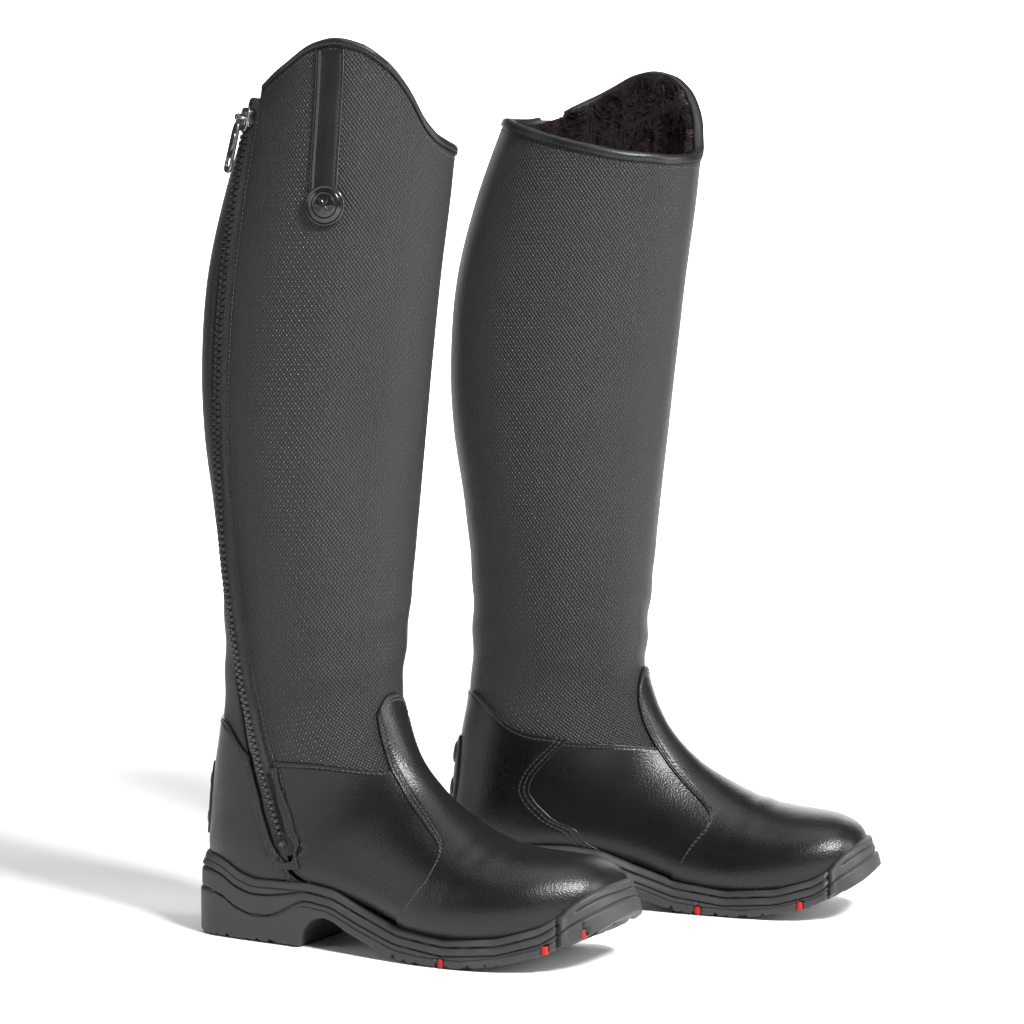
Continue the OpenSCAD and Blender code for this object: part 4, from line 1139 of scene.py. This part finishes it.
def lugs(x, y):
    """Depth in mm of the tread grooves at a point under the sole."""
    w = np.abs(y - middle_of_tread(x))
    sole = step(x, 150, 153) * (1 - step(x, 272, 276))
    heel = step(x, -4, 4) * (1 - step(x, 82, 84.5))
    bend = np.where(x > 120, .55 * w, -.35 * w)
    g = ((x + bend + 1.6 * np.sin(y * .12) + 2.6 * np.sin(x * .23)) / 10.4) % 1
    cross_cut = step(g, .02, .1) * (1 - step(g, .26, .34)) * (.75 + .25 * np.sin(x * .61))
    g2 = ((x * .6 - bend + 4) / 9.1) % 1
    mid = step(g2, .05, .13) * (1 - step(g2, .3, .38)) * (1 - step(w, 17, 19)) * step(w, 3, 4)
    channel = (1 - step(np.abs(w - 18), 1.0, 1.9)) + (1 - step(w, 1.2, 2.2))
    d = np.maximum(np.maximum(cross_cut * step(w, 18, 19), mid), np.clip(channel, 0, 1) * .8)
    heel_d = np.maximum(cross_cut * step(w, 12, 13), 1 - step(np.abs(w - 12), 1, 1.9))
    return 3.3 * d * sole + 2.4 * heel_d * heel


def wall_detail(d, x, h):
    """How far the side wall is pushed out d mm below the lip, on a wall h mm high at x."""
    guard = step(x, 256.5, 258)
    up = h - d
    lip = np.where(d < 4.7, -1.5 * np.abs((d - 2.5) / 2.5) ** 3.2, 0)
    heel = 1 - step(x, 60, 95)
    g1, g2 = 4.9 + 3.8 * heel, 9.6 + 11.5 * heel
    low = np.minimum(12.5 + 9 * heel, h - 5)
    groove = (-1.7 * bell(d, g1, .6) - .6 * bell(d, g1 + .9, 1.1) - 1.3 * bell(d, g2, .5)
              - .7 * bell(d, low, .45))
    rise = .7 * step(d, g2, g2 + 1.2)
    plain = lip + groove + rise
    cap = 1.7 + 1.0 * step(d, h * .52 - .3, h * .52 + .3) - 1.3 * bell(d, h * .52 - .5, .45)
    cap = cap - 1.4 * bell(d, 4.4, .45) * step(x, 264, 266)
    toe = cap - 1.8 * np.clip(1 - d / 1.4, 0, 1) ** 2
    e = -1.6 * np.clip(1 - up / 2.4, 0, 1) ** 2.2
    return plain * (1 - guard) + toe * guard + e - 2.0 * bell(x, 256.2, .7) * (d > .4)


def reach(wall, out, tan, z):
    """Distance in mm from each point of the sole's outline in to the upper at height z."""
    s, a = np.meshgrid(np.linspace(10.5, 20.95, 420), np.arange(-180, 180, 1.5), indexing="ij")
    p = surf(s, a).reshape(-1, 3)
    far = np.zeros(len(wall))
    for i in range(len(wall)):
        q = p[np.abs(p[:, 2] - z[i]) < 1.2]
        d = q[:, :2] - wall[i]
        near = np.abs(d @ tan[i]) < 1.6
        far[i] = (-(d[near] @ out[i])).min() if near.any() else np.nan
    ok = ~np.isnan(far)
    i = np.arange(len(far))
    far = np.interp(i, i[ok], far[ok])
    k = np.hanning(11)
    return np.convolve(np.concatenate([far[-5:], far, far[:5]]), k / k.sum(), "valid")


def sole():
    n = 620
    wall = closed_curve(WALL, n)
    tan = unit(np.roll(wall, -1, axis=0) - np.roll(wall, 1, axis=0))
    area = np.sum(wall[:, 0] * np.roll(wall[:, 1], -1) - wall[:, 1] * np.roll(wall[:, 0], -1))
    out = np.stack([tan[:, 1], -tan[:, 0]], -1) * (1 if area > 0 else -1)
    x = wall[:, 0]
    top, low = lip_line(x), tread_line(x)
    guard = step(x, 259, 261)
    top = top + 1.0 * guard
    h = top - low
    gap = reach(wall, out, tan, top)
    lean = np.clip(gap - 2.6, 0, 9)
    along = np.clip(x, 24, 256)
    spine = np.stack([along, middle_of_tread(along)], -1)
    rows = []

    def row(q, z):
        rows.append(np.column_stack([q, z]))

    def side_of(depth):
        """How far the wall is pushed out at that depth below the lip."""
        return wall_detail(depth, x, h) - lean * np.clip(1 - depth / (9 + 12 * guard), 0, 1) ** 1.3
    inner = wall - out * (lean + 4.0)[:, None]
    row(spine, floor_line(spine[:, 0]))
    row(wall - out * 4.4, floor_line(wall[:, 0]))
    row(wall - out * 4.2, np.minimum(top - 3, low + .6 * h))
    for k, z in ((0, -.7), (1.2, -.3), (2.0, 0), (2.7, 0), (3.3, -.12)):
        row(inner + out * k, top + z)
    for d in np.concatenate([[.25, .6, 1.0], np.linspace(1.5, 12, 24)]):
        depth = d * np.minimum(1, h * .55 / 12)
        row(wall + out * side_of(depth)[:, None], top - depth)
    last = depth
    notch = lugs(x, wall[:, 1])
    for f in np.linspace(0, 1, 34)[1:]:
        depth = last + (h - .3 - last) * f
        up = h - depth
        slot = np.zeros(n)
        for px, py in PLUGS:
            r = np.hypot(x - px, wall[:, 1] - py)
            side = np.abs((wall - [px, py]) @ tan[np.argmin(r)] + .3)
            slot = np.maximum(slot, (r < 12) * (1 - step(side, .35, .75)) * (1 - step(up, 9.5, 10.5)))
            side = np.abs((wall - [px, py]) @ tan[np.argmin(r)])
            slot = np.maximum(slot, (r < 12) * (1 - step(side, 2.2, 2.7)) * (1 - step(up, 5.2, 5.8)) * 1.6)
        row(wall + out * (side_of(depth) - 1.1 * slot)[:, None], np.maximum(top - depth, low + notch))
    for k in np.linspace(0, 1, 40)[1:] ** 1.05:
        q = (wall - out * 1.9) * (1 - k) + spine * k
        row(q, tread_line(q[:, 0]) + lugs(q[:, 0], q[:, 1]))
    p = np.vstack(rows)
    emit("outsole", Mesh().add(p, closed(p, quads(len(rows), n, wrap=True))), "outsole_rubber", angle=48)

    m = Mesh()
    for px, py in PLUGS:
        i = int(np.argmin(np.hypot(wall[:, 0] - px, wall[:, 1] - py)))
        o = np.array([px, py, float(tread_line(px)) + .1])
        o[:2] += out[i] * .35
        prof = [(0, 0), (1.7, 0), (2.15, .25), (2.3, .7), (2.3, 4.6), (2.1, 5), (0, 5)]
        m.many(*lathe(prof, 40), np.stack([o, [1, 0, 0], [0, 1, 0], [0, 0, 1]])[None])
    emit("grip_plugs", m, "grip_rubber")


for side_name, seed in (("left", 11), ("right", 29)):
    Side.now = Side(side_name, seed)
    upper()
    binding()
    badge()
    spur_rest()
    tapes()
    teeth()
    slider_and_pull()
    inside(seed)
    sole()

# ---------------------------------------------------------------- floor, light and camera
white = Mat("studio_white", (.93, .93, .93), .7, Specular_IOR_Level=.1)
white.set(Roughness=white.remap(white.noise(1.5, 2), .3, .7, .66, .74))


def card(name, loc, size, rot=(0, 0, 0)):
    me = bpy.data.meshes.new(name)
    x, y = size[0] / 2, size[1] / 2
    me.from_pydata([(-x, -y, 0), (x, -y, 0), (x, y, 0), (-x, y, 0)], [], [(0, 1, 2, 3)])
    me.materials.append(white.m)
    o = bpy.data.objects.new(name, me)
    o.location, o.rotation_euler = loc, rot
    bpy.context.scene.collection.objects.link(o)
    return o


floor = card("studio_floor", (0, 0, -.0005), (24, 24))
wall_card = card("studio_backdrop", (-.78, 1.85, .6), (2.3, 1.21), (math.pi / 2, 0, math.radians(22.3)))
glow = Mat("studio_glow", (1, 1, 1), .9)
glow.set(Emission_Color=glow.ramp(glow.noise(.6, 1), (0, .985), (1, 1.0)))
glow.b.inputs["Emission Strength"].default_value = 1.0
wall_card.data.materials[0] = glow.m

world = bpy.data.worlds.new("studio")
world.use_nodes = True
bg = world.node_tree.nodes["Background"]
bg.inputs["Color"].default_value = (1, 1, 1, 1)
bg.inputs["Strength"].default_value = .13
bpy.context.scene.world = world

CAM = Vector((.689, -1.7315, .3645))
FWD = Vector((-.3795, .9252, -math.tan(math.radians(3.48)))).normalized()
cam_data = bpy.data.cameras.new("camera")
cam_data.lens, cam_data.sensor_width = 108.15, 36
cam = bpy.data.objects.new("camera", cam_data)
cam.location = CAM
cam.rotation_euler = FWD.to_track_quat("-Z", "Y").to_euler()
bpy.context.scene.collection.objects.link(cam)
bpy.context.scene.camera = cam


def area(name, loc, aim, size, power):
    d = bpy.data.lights.new(name, "AREA")
    d.shape, d.size, d.size_y, d.energy = "RECTANGLE", size[0], size[1], power
    o = bpy.data.objects.new(name, d)
    o.location = loc
    o.rotation_euler = (Vector(aim) - Vector(loc)).to_track_quat("-Z", "Y").to_euler()
    bpy.context.scene.collection.objects.link(o)
    return o


area("key", (1.45, -.95, 1.75), (.05, -.05, .1), (.5, .5), 120)
area("right", (2.0, .3, .8), (0, 0, .3), (.6, 1.4), 30)
area("left", (-1.9, -1.5, .9), (-.1, -.1, .3), (1.0, 1.6), 12)
area("top", (0, .1, 2.4), (0, 0, .2), (2.2, 1.6), 24)
bpy.context.scene.view_settings.view_transform = "Standard"
